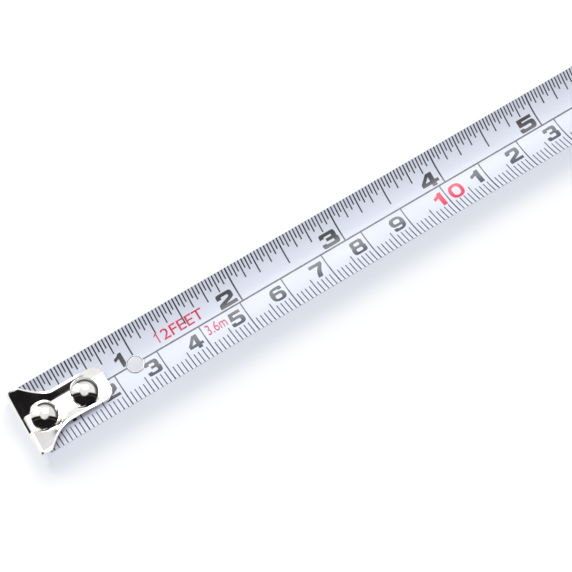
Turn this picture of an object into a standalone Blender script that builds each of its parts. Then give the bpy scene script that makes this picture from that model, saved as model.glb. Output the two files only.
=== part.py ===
"""Pocket tape measure, 3.6 m by 16 mm, with its blade drawn out and locked.

Metres, +Z up. The origin is the centre of the case's flat base. The blade leaves the
case towards -X, its inch edge is at +Y, and the printed hollow side faces up.
"""

import math

import bmesh
import bpy
from mathutils import Matrix, Vector

MM = 0.001

# ---- blade: a thin steel strip with a hollow section -------------------------------
BLADE_LENGTH = 3660 * MM        # whole strip, drawn out and wound
BLADE_WIDTH = 16.0 * MM         # measured flat
BLADE_THICKNESS = 0.15 * MM     # steel and its coating
BLADE_CURVE_R = 13.8 * MM       # radius of the hollow section
BLADE_OUT = 165.0 * MM          # scale zero to the front of the mouth bumper
BLADE_HEIGHT = 5.6 * MM         # lowest line of the printed face above the base
HANG_HOLE_X = 24.9 * MM         # round hole in the blade, from scale zero
HANG_HOLE_D = 3.5 * MM

# ---- end hook and its two rivets ---------------------------------------------------
HOOK_SHEET = 0.95 * MM
HOOK_PLAY = 0.95 * MM           # true-zero travel, one sheet thickness
HOOK_OVERHANG = 0.6 * MM        # flare past the blade's edge, along the curve
HOOK_WAIST_HALF = 3.75 * MM
HOOK_FLAT_HALF = 2.9 * MM       # flat channel under the rivet heads
HOOK_LENGTH = 18.1 * MM
HOOK_FLARE_START = 1.7 * MM
HOOK_FLARE_END = 7.0 * MM
HOOK_TAIL_CORNER_R = 2.0 * MM
HOOK_FOLD_R = 1.3 * MM
HOOK_LIP_DROP = 5.2 * MM        # lip below the blade's lowest line
HOOK_LIP_CORNER = 0.8 * MM
RIVET_FRONT_X = 3.8 * MM
RIVET_PITCH = 9.25 * MM
RIVET_HEAD_R = 2.9 * MM
RIVET_HEAD_H = 1.75 * MM
RIVET_SHANK_R = 1.2 * MM
RIVET_TAIL_R = 2.0 * MM
RIVET_TAIL_H = 0.45 * MM

# ---- reel, its spring and the wound blade ------------------------------------------
DRUM_R = 16.5 * MM
DRUM_WALL = 1.4 * MM
COIL_LOOSENESS = 1.06           # wound length takes this much more than solid steel
STRIP_END_X = -2.0 * MM         # where the drawn-out strip meets the coil
COIL_LIFT = 1.7 * MM            # underside of the coil above the printed face
FLANGE_RIM = 2.3 * MM           # flange past the coil
FLANGE_T = 0.9 * MM
POST_R = 3.0 * MM
POST_TONGUE = 3.6 * MM          # square end, across flats
POST_TONGUE_DEPTH = 1.1 * MM
SPRING_TURNS = 7
SPRING_T = 0.35 * MM
SPRING_HALF_WIDTH = 6.0 * MM

# ---- case --------------------------------------------------------------------------
WALL = 2.0 * MM
SIDE_WALL = 2.0 * MM
PARTING_Y = 3.0 * MM            # the left half is the deeper one
ROOT = 0.5 * MM                 # how far a boss or rib reaches into its wall
REEL_ROOM = 4.6 * MM            # reel flange to the front and back walls
REEL_HEADROOM = 2.6 * MM        # reel flange to the top wall
TOP_FRONT_R = 20.0 * MM
TOP_BACK_R = 22.0 * MM
BASE_BACK_R = 10.0 * MM
BASE_FRONT_R = 3.0 * MM
EDGE_ROUND = 2.5 * MM
GUIDE_T = 1.2 * MM
GUIDE_BACK = 16.0 * MM          # guide plate behind the front wall's outer face
BUMPER_T = 1.7 * MM
BUMPER_RIM = 1.2 * MM
BUMPER_EDGE_R = 0.5 * MM
BUMPER_LOW = 1.5 * MM            # bumper's lower edge above the base
BOSS_R = 2.6 * MM
SCREW_R = 1.0 * MM
SCREW_HEAD_R = 2.0 * MM
SCREW_HEAD_H = 1.1 * MM
SCREW_LENGTH = 16.0 * MM
SCREW_SLOT_HALF = 0.22 * MM      # half the width of each arm of the cross recess

# ---- outside trim ------------------------------------------------------------------
GRIP_INSET = 4.0 * MM
GRIP_T = 1.2 * MM
LABEL_R = 15.0 * MM
LABEL_T = 0.8 * MM
CLIP_T = 0.8 * MM
CLIP_HALF_WIDTH = 7.0 * MM
CLIP_BAY = 2.5 * MM             # bare case around the clip, to the grip's edge
CLIP_STAND = 6.0 * MM           # clear gap behind the clip
CLIP_FOOT = 9.0 * MM
CLIP_DROP = 40.0 * MM           # foot's top to the clip's lower end
CLIP_TOP = 5.5 * MM             # clip's top below the grip's upper edge
CLIP_BEND = 0.6                 # share of the stand reached where the strip is steepest
CLIP_SHOULDER = (2.6 * MM, 5.5 * MM)    # below the foot: the steep bend, then the straight leg
CLIP_KNEE = (9.0 * MM, 5.0 * MM)        # above the lower end: the leg's end, then the bend back
CLIP_TOE = ((2.0 * MM, 2.6 * MM), (2.4 * MM, 1.2 * MM), (4.2 * MM, 0.0))  # off the case, above the end
CLIP_CORNER = 1.2 * MM          # each end is this much narrower on both sides

# ---- lock --------------------------------------------------------------------------
LOCK_TRAVEL = 3.5 * MM
LOCK_PLATE_T = 1.6 * MM
LOCK_PLATE_HALF = 5.5 * MM
LOCK_STEM_HALF = 3.6 * MM
LOCK_STEM_H = 5.0 * MM
LOCK_BUTTON_H = 14.5 * MM
LOCK_BUTTON_HALF = 6.0 * MM
LOCK_BUTTON_T = 3.4 * MM
LOCK_BUTTON_Z = 27.6 * MM       # middle of the button when locked
LOCK_FOOT_T = 1.8 * MM
LOCK_FOOT_REACH = 8.4 * MM      # foot behind the plate's front face
LOCK_BUTTON_EDGE_R = 1.2 * MM
LOCK_GROOVES = 5                # finger grooves across the button's face
LOCK_GROOVE_PITCH = 2.2 * MM
LOCK_GROOVE_HALF = 0.4 * MM
LOCK_GROOVE_DEPTH = 0.6 * MM
BRAKE_PAD_LENGTH = 3.4 * MM
BRAKE_PAD_WIDTH = 2.4 * MM

# ---- clearances --------------------------------------------------------------------
GAP = 0.3 * MM                  # between pieces that rest on or pass each other
SEAT = 0.15 * MM                # under riveted sheet and moulded-on trim
SHANK_CLEARANCE = 0.12 * MM
SIDE_CLEARANCE = 0.4 * MM       # reel to the case's sides
MOUTH_CLEARANCE = 0.6 * MM

# ---- places that follow from the sizes ---------------------------------------------
WOUND_LENGTH = BLADE_LENGTH - BLADE_OUT
COIL_R = math.sqrt(DRUM_R ** 2 + WOUND_LENGTH * BLADE_THICKNESS * COIL_LOOSENESS / math.pi)
FLANGE_R = COIL_R + FLANGE_RIM
REEL_Z = BLADE_HEIGHT + COIL_LIFT + COIL_R
REEL_HALF = BLADE_WIDTH / 2 + GAP + FLANGE_T
CAVITY_HALF = REEL_HALF + SIDE_CLEARANCE
SHELL_HALF = CAVITY_HALF + SIDE_WALL
CASE_BACK = FLANGE_R + REEL_ROOM + WALL
CASE_FRONT = -CASE_BACK
CASE_TOP = REEL_Z + FLANGE_R + REEL_HEADROOM + WALL
BUMPER_FRONT = CASE_FRONT - GAP - BUMPER_T
ZERO_X = BUMPER_FRONT - BLADE_OUT
HOOK_HALF = BLADE_WIDTH / 2 + HOOK_OVERHANG
HOOK_TOP = SEAT + HOOK_SHEET
HOOK_FLAT_TOP = BLADE_CURVE_R - (BLADE_CURVE_R - HOOK_TOP) * math.cos(HOOK_FLAT_HALF / BLADE_CURVE_R)
HOOK_EDGE_TOP = BLADE_CURVE_R - (BLADE_CURVE_R - HOOK_TOP) * math.cos(HOOK_HALF / BLADE_CURVE_R)
RIVET_REAR_X = RIVET_FRONT_X + RIVET_PITCH
RIVET_DEPTH = BLADE_THICKNESS + SEAT + RIVET_TAIL_H
GROOVE_HALF = RIVET_TAIL_R + 2 * GAP
MOUTH_HALF = BLADE_CURVE_R * math.sin(HOOK_HALF / BLADE_CURVE_R) + MOUTH_CLEARANCE
MOUTH_TOP = BLADE_HEIGHT + HOOK_EDGE_TOP + MOUTH_CLEARANCE
GUIDE_TOP = BLADE_HEIGHT - BLADE_THICKNESS - GAP / 3
GUIDE_LOW = GUIDE_TOP - GUIDE_T
GROOVE_LOW = BLADE_HEIGHT - RIVET_DEPTH - GAP
MOUTH_LOW = GUIDE_LOW - GAP
CLIP_UPPER_Z = CASE_TOP - GRIP_INSET - CLIP_TOP
CLIP_SCREW_Z = CLIP_UPPER_Z - CLIP_FOOT / 2
FINE = 20
COARSE = 12


# ---- making and joining ------------------------------------------------------------
def anchor(name, parent=None, location=(0, 0, 0)):
    """An empty object that others are placed on, such as a joint's axis."""
    empty = bpy.data.objects.new(name, None)
    bpy.context.scene.collection.objects.link(empty)
    empty.location = location
    empty.parent = parent
    return empty


def paint(name, colour, roughness, metallic=0.0):
    """A plain shaded material."""
    material = bpy.data.materials.new(name)
    material.use_nodes = True
    shader = material.node_tree.nodes["Principled BSDF"]
    shader.inputs["Base Color"].default_value = (*colour, 1.0)
    shader.inputs["Roughness"].default_value = roughness
    shader.inputs["Metallic"].default_value = metallic
    return material


def piece(name, bm, material=None, parent=None, location=(0, 0, 0)):
    """One object from a mesh whose faces are turned outwards."""
    bmesh.ops.remove_doubles(bm, verts=bm.verts, dist=1e-7)
    bmesh.ops.recalc_face_normals(bm, faces=bm.faces)
    mesh = bpy.data.meshes.new(name)
    bm.to_mesh(mesh)
    bm.free()
    mesh.shade_smooth()
    mesh.set_sharp_from_angle(angle=math.radians(35))
    thing = bpy.data.objects.new(name, mesh)
    bpy.context.scene.collection.objects.link(thing)
    thing.parent = parent
    thing.location = location
    if material:
        mesh.materials.append(material)
    return thing


def combine(target, bm, operation, parent=None, location=(0, 0, 0)):
    """Cut a tool out of the target, or add it on, with a Boolean."""
    tool = piece(target.name + "_tool", bm, None, parent, location)
    tool.hide_render = True
    tool.display_type = "WIRE"
    boolean = target.modifiers.new(operation.lower(), "BOOLEAN")
    boolean.operation = operation
    boolean.solver = "EXACT"
    boolean.object = tool
    return target


def box(bm, low, high):
    """An upright box between two corners."""
    low, high = Vector(low), Vector(high)
    size = high - low
    middle = Matrix.Translation((low + high) / 2)
    scale = Matrix.Diagonal((abs(size.x), abs(size.y), abs(size.z), 1))
    bmesh.ops.create_cube(bm, size=1, matrix=middle @ scale)
    return bm


def rod(bm, radius, start, end, sides=FINE):
    """A round bar between two points."""
    start, end = Vector(start), Vector(end)
    run = end - start
    turn = run.to_track_quat("Z", "Y").to_matrix().to_4x4()
    place = Matrix.Translation((start + end) / 2) @ turn
    bmesh.ops.create_cone(bm, cap_ends=True, segments=sides, radius1=radius, radius2=radius,
                          depth=run.length, matrix=place)
    return bm


def side_faces(bm, rings):
    """Join closed rings of vertices, one after the other."""
    for first, second in zip(rings, rings[1:]):
        for index in range(len(first)):
            after = (index + 1) % len(first)
            bm.faces.new((first[index], first[after], second[after], second[index]))


def capped(bm, rings):
    """Join closed rings of vertices and close both ends."""
    side_faces(bm, rings)
    bm.faces.new(rings[0])
    bm.faces.new(rings[-1])
    return bm


def prism(bm, layers):
    """A closed solid through side outlines of (x, z) points, each at its own y."""
    rings = [[bm.verts.new((x, y, z)) for x, z in outline] for outline, y in layers]
    return capped(bm, rings)


def round_edges(bm, faces, radius, steps):
    """Round the edges around the given faces."""
    edges = list({edge for face in faces for edge in face.edges})
    bmesh.ops.bevel(bm, geom=edges, offset=radius, segments=steps, affect="EDGES", profile=0.5)


def lathe(bm, profile, sides=FINE):
    """Turn a profile of (radius, z) points about Z."""
    verts = [bm.verts.new((radius, 0, z)) for radius, z in profile]
    edges = [bm.edges.new(pair) for pair in zip(verts, verts[1:])]
    bmesh.ops.spin(bm, geom=verts + edges, cent=(0, 0, 0), axis=(0, 0, 1),
                   angle=math.tau, steps=sides, use_merge=True, use_duplicate=False)
    bmesh.ops.remove_doubles(bm, verts=bm.verts, dist=1e-7)
    return bm


def corner(x, z, radius, start_degrees, steps):
    """A quarter circle of (x, z) points about a corner's centre."""
    points = []
    for step in range(steps + 1):
        angle = math.radians(start_degrees + 90 * step / steps)
        points.append((x + radius * math.cos(angle), z + radius * math.sin(angle)))
    return points


def case_outline(inset, steps=6):
    """The case seen from its side, shrunk by an inset."""
    front, back = CASE_FRONT + inset, CASE_BACK - inset
    low, top = inset, CASE_TOP - inset
    least = 0.5 * MM
    base_back = max(BASE_BACK_R - inset, least)
    base_front = max(BASE_FRONT_R - inset, least)
    top_back = max(TOP_BACK_R - inset, least)
    top_front = max(TOP_FRONT_R - inset, least)
    return (corner(back - base_back, low + base_back, base_back, -90, steps)
            + corner(back - top_back, top - top_back, top_back, 0, steps)
            + corner(front + top_front, top - top_front, top_front, 90, steps)
            + corner(front + base_front, low + base_front, base_front, 180, steps))


def rounded_side(inset, near, far, radius, steps):
    """Layers of the case's outline from near to far, with the far edge rounded."""
    way = 1 if far > near else -1
    layers = [(case_outline(inset), near)]
    for step in range(steps + 1):
        angle = math.radians(90 * step / steps)
        shrink = radius * (1 - math.cos(angle))
        layers.append((case_outline(inset + shrink), far - way * radius * (1 - math.sin(angle))))
    return layers


def boss_centres():
    """The three screw bosses, each midway between the reel and its corner's wall."""
    centres = []
    for x_sign, radius in ((-1, TOP_FRONT_R), (1, TOP_BACK_R)):
        reach = radius * math.sqrt(0.5)
        rim = Vector((x_sign * (CASE_BACK - radius + reach), 0, CASE_TOP - radius + reach))
        reel = Vector((0, 0, REEL_Z))
        way = (rim - reel).normalized()
        distance = (FLANGE_R + (rim - reel).length - WALL) / 2
        centres.append(reel + way * distance)
    centres.append(Vector((CASE_BACK - WALL - 2 * BOSS_R, 0, WALL + 2 * BOSS_R)))
    return centres


# ---- case --------------------------------------------------------------------------
def half_shell(name, side, material):
    """One moulded half: outer skin, pocket, screw bosses, mouth and lock window."""
    split = PARTING_Y + side * GAP / 2
    beyond = PARTING_Y - side * WALL
    inner = side * CAVITY_HALF
    outer = side * SHELL_HALF
    body = prism(bmesh.new(), rounded_side(0, split, outer, EDGE_ROUND, 4))
    shell = piece(name, body, material)

    pocket = prism(bmesh.new(), [(case_outline(WALL), beyond), (case_outline(WALL), inner)])
    combine(shell, pocket, "DIFFERENCE")

    added = bmesh.new()
    for centre in boss_centres():
        rod(added, BOSS_R, (centre.x, split, centre.z), (centre.x, inner + side * ROOT, centre.z), COARSE)
    box(added, (CASE_FRONT + WALL - ROOT, split, WALL - ROOT),
        (CASE_FRONT + GUIDE_BACK, inner + side * ROOT, GUIDE_TOP))
    combine(shell, added, "UNION")

    cuts = bmesh.new()
    stem_low = LOCK_BUTTON_Z - LOCK_STEM_H / 2 - GAP
    stem_top = LOCK_BUTTON_Z + LOCK_STEM_H / 2 + LOCK_TRAVEL + GAP
    box(cuts, (CASE_FRONT - WALL, beyond, MOUTH_LOW),
        (CASE_FRONT + GUIDE_BACK + WALL, side * MOUTH_HALF, MOUTH_TOP))
    box(cuts, (CASE_FRONT - WALL, beyond, stem_low),
        (CASE_FRONT + 1.5 * WALL, side * (LOCK_STEM_HALF + GAP), stem_top))
    tongue = POST_TONGUE / 2 + GAP / 2
    box(cuts, (-tongue, side * (CAVITY_HALF - WALL), REEL_Z - tongue),
        (tongue, side * (CAVITY_HALF + POST_TONGUE_DEPTH + GAP), REEL_Z + tongue))
    bore = SCREW_R + SHANK_CLEARANCE
    seat = SHELL_HALF - SCREW_HEAD_H - GAP
    bore_end = seat if side > 0 else seat - SCREW_LENGTH - GAP
    for centre in boss_centres():
        rod(cuts, bore, (centre.x, beyond, centre.z), (centre.x, bore_end, centre.z), COARSE)
    combine(shell, cuts, "DIFFERENCE")

    if side > 0:
        outside = bmesh.new()
        for centre in boss_centres():
            rod(outside, SCREW_HEAD_R + GAP, (centre.x, seat - GAP / 3, centre.z),
                (centre.x, outer + WALL, centre.z), COARSE)
        rod(outside, bore, (0, CAVITY_HALF - WALL, CLIP_SCREW_Z),
            (0, outer + WALL, CLIP_SCREW_Z), COARSE)
        combine(shell, outside, "DIFFERENCE")
    return shell


def side_grip(name, side, material):
    """A soft panel moulded on one side, open round the label or the belt clip."""
    inner = side * (SHELL_HALF + SEAT)
    outer = side * (SHELL_HALF + SEAT + GRIP_T)
    body = prism(bmesh.new(), rounded_side(GRIP_INSET, inner, outer, GRIP_T * 0.7, 3))
    grip = piece(name, body, material)
    cuts = bmesh.new()
    if side < 0:
        rod(cuts, LABEL_R + GAP, (0, inner - side * WALL, REEL_Z), (0, outer + side * WALL, REEL_Z), 32)
    else:
        half = CLIP_HALF_WIDTH + CLIP_BAY
        box(cuts, (-half, inner - WALL, CLIP_UPPER_Z - CLIP_DROP + CLIP_BAY),
            (half, outer + WALL, CLIP_UPPER_Z + CLIP_BAY))
        for centre in boss_centres():
            rod(cuts, SCREW_HEAD_R + 2 * GAP, (centre.x, inner - WALL, centre.z),
                (centre.x, outer + WALL, centre.z), COARSE)
    return combine(grip, cuts, "DIFFERENCE")


def label_plate(material):
    """The round plate on the left side."""
    bm = bmesh.new()
    inner = -(SHELL_HALF + SEAT)
    rod(bm, LABEL_R, (0, inner, REEL_Z), (0, inner - LABEL_T, REEL_Z), 32)
    return piece("side_label", bm, material)


def front_bumper(material):
    """The soft frame round the mouth that the hook lands on."""
    bm = bmesh.new()
    half = MOUTH_HALF + BUMPER_RIM
    box(bm, (BUMPER_FRONT, -half, BUMPER_LOW), (CASE_FRONT - GAP, half, MOUTH_TOP + BUMPER_RIM))
    front = [face for face in bm.faces if face.normal.x < -0.5]
    round_edges(bm, front, BUMPER_EDGE_R, 2)
    bumper = piece("front_bumper", bm, material)
    cut = bmesh.new()
    box(cut, (BUMPER_FRONT - WALL, -MOUTH_HALF, MOUTH_LOW), (CASE_FRONT + WALL, MOUTH_HALF, MOUTH_TOP))
    return combine(bumper, cut, "DIFFERENCE")


def blade_guide(material):
    """The plate in the mouth that the blade runs on, grooved for the rivets."""
    bm = bmesh.new()
    half = BLADE_WIDTH / 2
    box(bm, (BUMPER_FRONT + 2 * GAP, -half, GUIDE_LOW), (CASE_FRONT + GUIDE_BACK - GAP, half, GUIDE_TOP))
    guide = piece("blade_guide", bm, material)
    cut = bmesh.new()
    box(cut, (BUMPER_FRONT - WALL, -GROOVE_HALF, GROOVE_LOW),
        (CASE_FRONT + GUIDE_BACK + WALL, GROOVE_HALF, GUIDE_TOP + WALL))
    return combine(guide, cut, "DIFFERENCE")


def centre_post(material, reel_axis):
    """The fixed post that the reel turns on, split to hold the spring's inner end."""
    reach = CAVITY_HALF - GAP
    body = rod(bmesh.new(), POST_R, (0, -reach, 0), (0, reach, 0))
    post = piece("centre_post", body, material, reel_axis)
    tongue = POST_TONGUE / 2
    depth = CAVITY_HALF + POST_TONGUE_DEPTH
    combine(post, box(bmesh.new(), (-tongue, -depth, -tongue), (tongue, depth, tongue)),
            "UNION", reel_axis)
    half = SPRING_HALF_WIDTH + 2 * GAP
    slot = box(bmesh.new(), (0, -half, -SPRING_T), (POST_R * 2, half, SPRING_T))
    return combine(post, slot, "DIFFERENCE", reel_axis)


def screw(name, material, x, z, head_y, length, head_h=SCREW_HEAD_H):
    """A pan-head screw along Y with a cross recess; its head's underside is at head_y."""
    profile = [(0, -length), (SCREW_R * 0.6, -length), (SCREW_R, -length + SCREW_R),
               (SCREW_R, 0), (SCREW_HEAD_R, 0), (SCREW_HEAD_R, head_h * 0.6),
               (SCREW_HEAD_R * 0.75, head_h), (0, head_h)]
    bm = lathe(bmesh.new(), profile, COARSE)
    bmesh.ops.rotate(bm, verts=bm.verts, cent=(0, 0, 0), matrix=Matrix.Rotation(math.radians(-90), 3, "X"))
    thing = piece(name, bm, material, None, (x, head_y, z))
    cross = bmesh.new()
    slot = SCREW_SLOT_HALF
    depth = head_h * 0.5
    reach = SCREW_HEAD_R * 0.6
    box(cross, (-reach, depth, -slot), (reach, head_h + slot, slot))
    upright = bmesh.new()
    box(upright, (-slot, depth, -reach), (slot, head_h + slot, reach))
    combine(thing, cross, "DIFFERENCE", thing)
    return combine(thing, upright, "DIFFERENCE", thing)


def belt_clip(material):
    """A bent spring-steel strip that stands off the right side and closes at its foot."""
    case_side = SHELL_HALF + SEAT
    lower = CLIP_UPPER_Z - CLIP_DROP
    out = CLIP_STAND
    path = [(case_side, CLIP_UPPER_Z), (case_side, CLIP_UPPER_Z - CLIP_FOOT),
            (case_side + CLIP_BEND * out, CLIP_UPPER_Z - CLIP_FOOT - CLIP_SHOULDER[0]),
            (case_side + out, CLIP_UPPER_Z - CLIP_FOOT - CLIP_SHOULDER[1]),
            (case_side + out, lower + CLIP_KNEE[0]), (case_side + CLIP_BEND * out, lower + CLIP_KNEE[1])]
    path += [(case_side + off, lower + above) for off, above in CLIP_TOE]
    bm = bmesh.new()
    rings = []
    for index, (y, z) in enumerate(path):
        before = Vector(path[max(index - 1, 0)])
        after = Vector(path[min(index + 1, len(path) - 1)])
        along = (after - before).normalized()
        normal = Vector((-along.y, along.x))
        far = Vector((y, z)) + normal * CLIP_T
        ends = (CLIP_HALF_WIDTH - CLIP_CORNER) if index in (0, len(path) - 1) else CLIP_HALF_WIDTH
        corners = ((-ends, y, z), (ends, y, z), (ends, far.x, far.y), (-ends, far.x, far.y))
        rings.append([bm.verts.new(point) for point in corners])
    clip = piece("belt_clip", capped(bm, rings), material)
    hole = rod(bmesh.new(), SCREW_R + SHANK_CLEARANCE, (0, SHELL_HALF - WALL, CLIP_SCREW_Z),
               (0, SHELL_HALF + 2 * WALL, CLIP_SCREW_Z), COARSE)
    return combine(clip, hole, "DIFFERENCE")


# ---- reel --------------------------------------------------------------------------
def turned_about_y(name, profile, material, parent, sides=32):
    """A closed (radius, y) profile turned about the reel's axis."""
    bm = bmesh.new()
    verts = [bm.verts.new((radius, y, 0)) for radius, y in profile]
    edges = [bm.edges.new((verts[i], verts[(i + 1) % len(verts)])) for i in range(len(verts))]
    bmesh.ops.spin(bm, geom=verts + edges, cent=(0, 0, 0), axis=(0, 1, 0),
                   angle=math.tau, steps=sides, use_merge=True, use_duplicate=False)
    return piece(name, bm, material, parent)


def reel_drum(material, reel_axis):
    """The drum with its left flange, which turns on the post."""
    left = -REEL_HALF
    hub = POST_R + SHANK_CLEARANCE
    chamber = DRUM_R - DRUM_WALL
    lip = REEL_HALF - FLANGE_T - GAP
    profile = [(hub, left), (FLANGE_R, left), (FLANGE_R, left + FLANGE_T), (DRUM_R, left + FLANGE_T),
               (DRUM_R, lip), (chamber, lip), (chamber, left + 2 * FLANGE_T), (hub, left + 2 * FLANGE_T)]
    return turned_about_y("reel_drum", profile, material, reel_axis)


def reel_cover(material, reel_axis):
    """The right flange, with a spigot inside the drum, which closes the spring in."""
    right = REEL_HALF
    hub = POST_R + SHANK_CLEARANCE
    spigot = DRUM_R - DRUM_WALL - GAP
    profile = [(hub, right), (hub, right - 2 * FLANGE_T), (spigot, right - 2 * FLANGE_T),
               (spigot, right - FLANGE_T), (FLANGE_R, right - FLANGE_T), (FLANGE_R, right)]
    return turned_about_y("reel_cover", profile, material, reel_axis)


def power_spring(material, reel_axis):
    """The flat spiral spring, from the post's slot out to the drum's wall."""
    inner = POST_R + 3 * GAP
    outer = DRUM_R - DRUM_WALL - GAP - SPRING_T
    steps = 18 * SPRING_TURNS
    route = [(POST_R * 0.45, 0.0), (POST_R + GAP, 0.0)]
    for step in range(1, steps + 1):
        share = step / steps
        angle = share * math.tau * SPRING_TURNS
        radius = inner + (outer - inner) * share
        route.append((radius * math.cos(angle), radius * math.sin(angle)))
    bm = bmesh.new()
    rings = []
    for index, point in enumerate(route):
        before = Vector(route[max(index - 1, 0)])
        after = Vector(route[min(index + 1, len(route) - 1)])
        along = (after - before).normalized()
        side = Vector((-along.y, along.x)) * SPRING_T / 2
        near, far = Vector(point) - side, Vector(point) + side
        half = SPRING_HALF_WIDTH
        corners = ((near.x, -half, near.y), (near.x, half, near.y),
                   (far.x, half, far.y), (far.x, -half, far.y))
        rings.append([bm.verts.new(place) for place in corners])
    return piece("power_spring", capped(bm, rings), material, reel_axis)


def blade_coil(material, reel_axis):
    """The wound length of blade, flat on the drum, as one ring."""
    half = BLADE_WIDTH / 2
    inner = DRUM_R + GAP
    profile = [(inner, -half), (COIL_R, -half), (COIL_R, half), (inner, half)]
    return turned_about_y("blade_coil", profile, material, reel_axis, 36)


# ---- blade and hook, in the blade's frame: X from scale zero, Z from the printed face --
def on_curve(s, height, curve_r=BLADE_CURVE_R):
    """Across-blade place (y, z) at a distance s along the hollow section."""
    return ((curve_r - height) * math.sin(s / curve_r),
            curve_r - (curve_r - height) * math.cos(s / curve_r))


def blade_strip(material, blade_zero):
    """The drawn-out blade: hollow outside the case, flattening towards the coil."""
    start = HOOK_PLAY + SHANK_CLEARANCE
    hollow_end = CASE_FRONT + WALL - ZERO_X
    end = STRIP_END_X - ZERO_X
    lift = COIL_LIFT - GAP
    stations = [start, RIVET_REAR_X * 2, hollow_end / 2 + HANG_HOLE_X, hollow_end]
    flattening = 8
    stations += [hollow_end + (end - hollow_end) * (i + 1) / flattening for i in range(flattening)]
    across = 10
    bm = bmesh.new()
    rings = []
    for x in stations:
        share = min(max((x - hollow_end) / (end - hollow_end), 0), 1)
        ease = share * share * (3 - 2 * share)
        curve_r = BLADE_CURVE_R / max(1 - ease, 0.01)
        top, under = [], []
        for index in range(across + 1):
            s = BLADE_WIDTH * (index / across - 0.5)
            y, z = on_curve(s, 0, curve_r)
            top.append(bm.verts.new((x, y, z + lift * ease)))
            y, z = on_curve(s, -BLADE_THICKNESS, curve_r)
            under.append(bm.verts.new((x, y, z + lift * ease)))
        rings.append(top + under[::-1])
    side_faces(bm, rings)
    for ring in (rings[0], rings[-1]):
        for index in range(across):
            far = len(ring) - 1 - index
            bm.faces.new((ring[index], ring[index + 1], ring[far - 1], ring[far]))
    strip = piece("blade_strip", bm, material, blade_zero)
    holes = bmesh.new()
    depth = 2 * GAP
    rod(holes, HANG_HOLE_D / 2, (HANG_HOLE_X, 0, -depth), (HANG_HOLE_X, 0, depth * 2), 24)
    for x in (RIVET_FRONT_X, RIVET_REAR_X):
        rod(holes, RIVET_SHANK_R + SHANK_CLEARANCE, (x, 0, -depth), (x, 0, depth * 2), FINE)
    return combine(strip, holes, "DIFFERENCE", blade_zero)


def hook_half_width(x):
    """Half width of the hook's plate, along the curve, at a distance from scale zero."""
    if x <= HOOK_FLARE_START:
        return HOOK_HALF
    if x <= HOOK_FLARE_END:
        share = (x - HOOK_FLARE_START) / (HOOK_FLARE_END - HOOK_FLARE_START)
        return HOOK_HALF + (HOOK_WAIST_HALF - HOOK_HALF) * share
    corner_x = HOOK_LENGTH - HOOK_TAIL_CORNER_R
    if x <= corner_x:
        return HOOK_WAIST_HALF
    run = min((x - corner_x) / HOOK_TAIL_CORNER_R, 1)
    return HOOK_WAIST_HALF - HOOK_TAIL_CORNER_R * (1 - math.sqrt(1 - run * run))


def hook_top(s):
    """Upper face of the hook's plate (y, z): flat under the rivets, then along the hollow."""
    y, z = on_curve(s, HOOK_TOP)
    if z < HOOK_FLAT_TOP:
        z = HOOK_FLAT_TOP
    return y, z


def end_hook(material, hook_zero):
    """The pressed hook: a plate that follows the blade, folded down to a lip."""
    fold_x = HOOK_FOLD_R - HOOK_SHEET
    tail = [HOOK_LENGTH - HOOK_TAIL_CORNER_R * (1 - math.sin(math.radians(a))) for a in (90, 60, 30, 0)]
    stations = tail + [HOOK_FLARE_END, (HOOK_FLARE_END + HOOK_FLARE_START) / 2, HOOK_FLARE_START, fold_x]
    bm = bmesh.new()
    rows = []
    for x in stations:
        half = hook_half_width(x)
        flat = min(HOOK_FLAT_HALF, 0.8 * half)
        across = [0, flat / 2, flat, (flat + half) / 2, half]
        places = [hook_top(s) for s in [-s for s in across[:0:-1]] + across]
        rows.append([bm.verts.new((x, y, z)) for y, z in places])
    edge = [vert.co.copy() for vert in rows[-1]]
    for degrees in (30, 60, 90):
        angle = math.radians(degrees)
        x = fold_x - HOOK_FOLD_R * math.sin(angle)
        drop = HOOK_FOLD_R * (1 - math.cos(angle))
        rows.append([bm.verts.new((x, co.y, co.z - drop)) for co in edge])
    shorter = 1 - HOOK_LIP_CORNER / edge[-1].y
    for z, share in ((HOOK_LIP_CORNER - HOOK_LIP_DROP, 1), (-HOOK_LIP_DROP, shorter)):
        rows.append([bm.verts.new((-HOOK_SHEET, co.y * share, z)) for co in edge])
    for first, second in zip(rows, rows[1:]):
        for index in range(len(first) - 1):
            bm.faces.new((first[index], first[index + 1], second[index + 1], second[index]))
    hook = piece("end_hook", bm, material, hook_zero)
    up = sum(face.normal.z for face in hook.data.polygons)
    if up < 0:
        hook.data.flip_normals()
    solid = hook.modifiers.new("sheet", "SOLIDIFY")
    solid.thickness = HOOK_SHEET
    solid.offset = -1
    solid.use_even_offset = True
    slots = bmesh.new()
    radius = RIVET_SHANK_R + SHANK_CLEARANCE
    for x in (RIVET_FRONT_X, RIVET_REAR_X):
        outline = [(x + radius * math.cos(math.radians(a)), radius * math.sin(math.radians(a)))
                   for a in range(-90, 91, 20)]
        outline += [(x - HOOK_PLAY + radius * math.cos(math.radians(a)), radius * math.sin(math.radians(a)))
                    for a in range(90, 271, 20)]
        capped(slots, [[slots.verts.new((px, py, z)) for px, py in outline] for z in (-WALL, 2 * WALL)])
    return combine(hook, slots, "DIFFERENCE", hook_zero)


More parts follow.
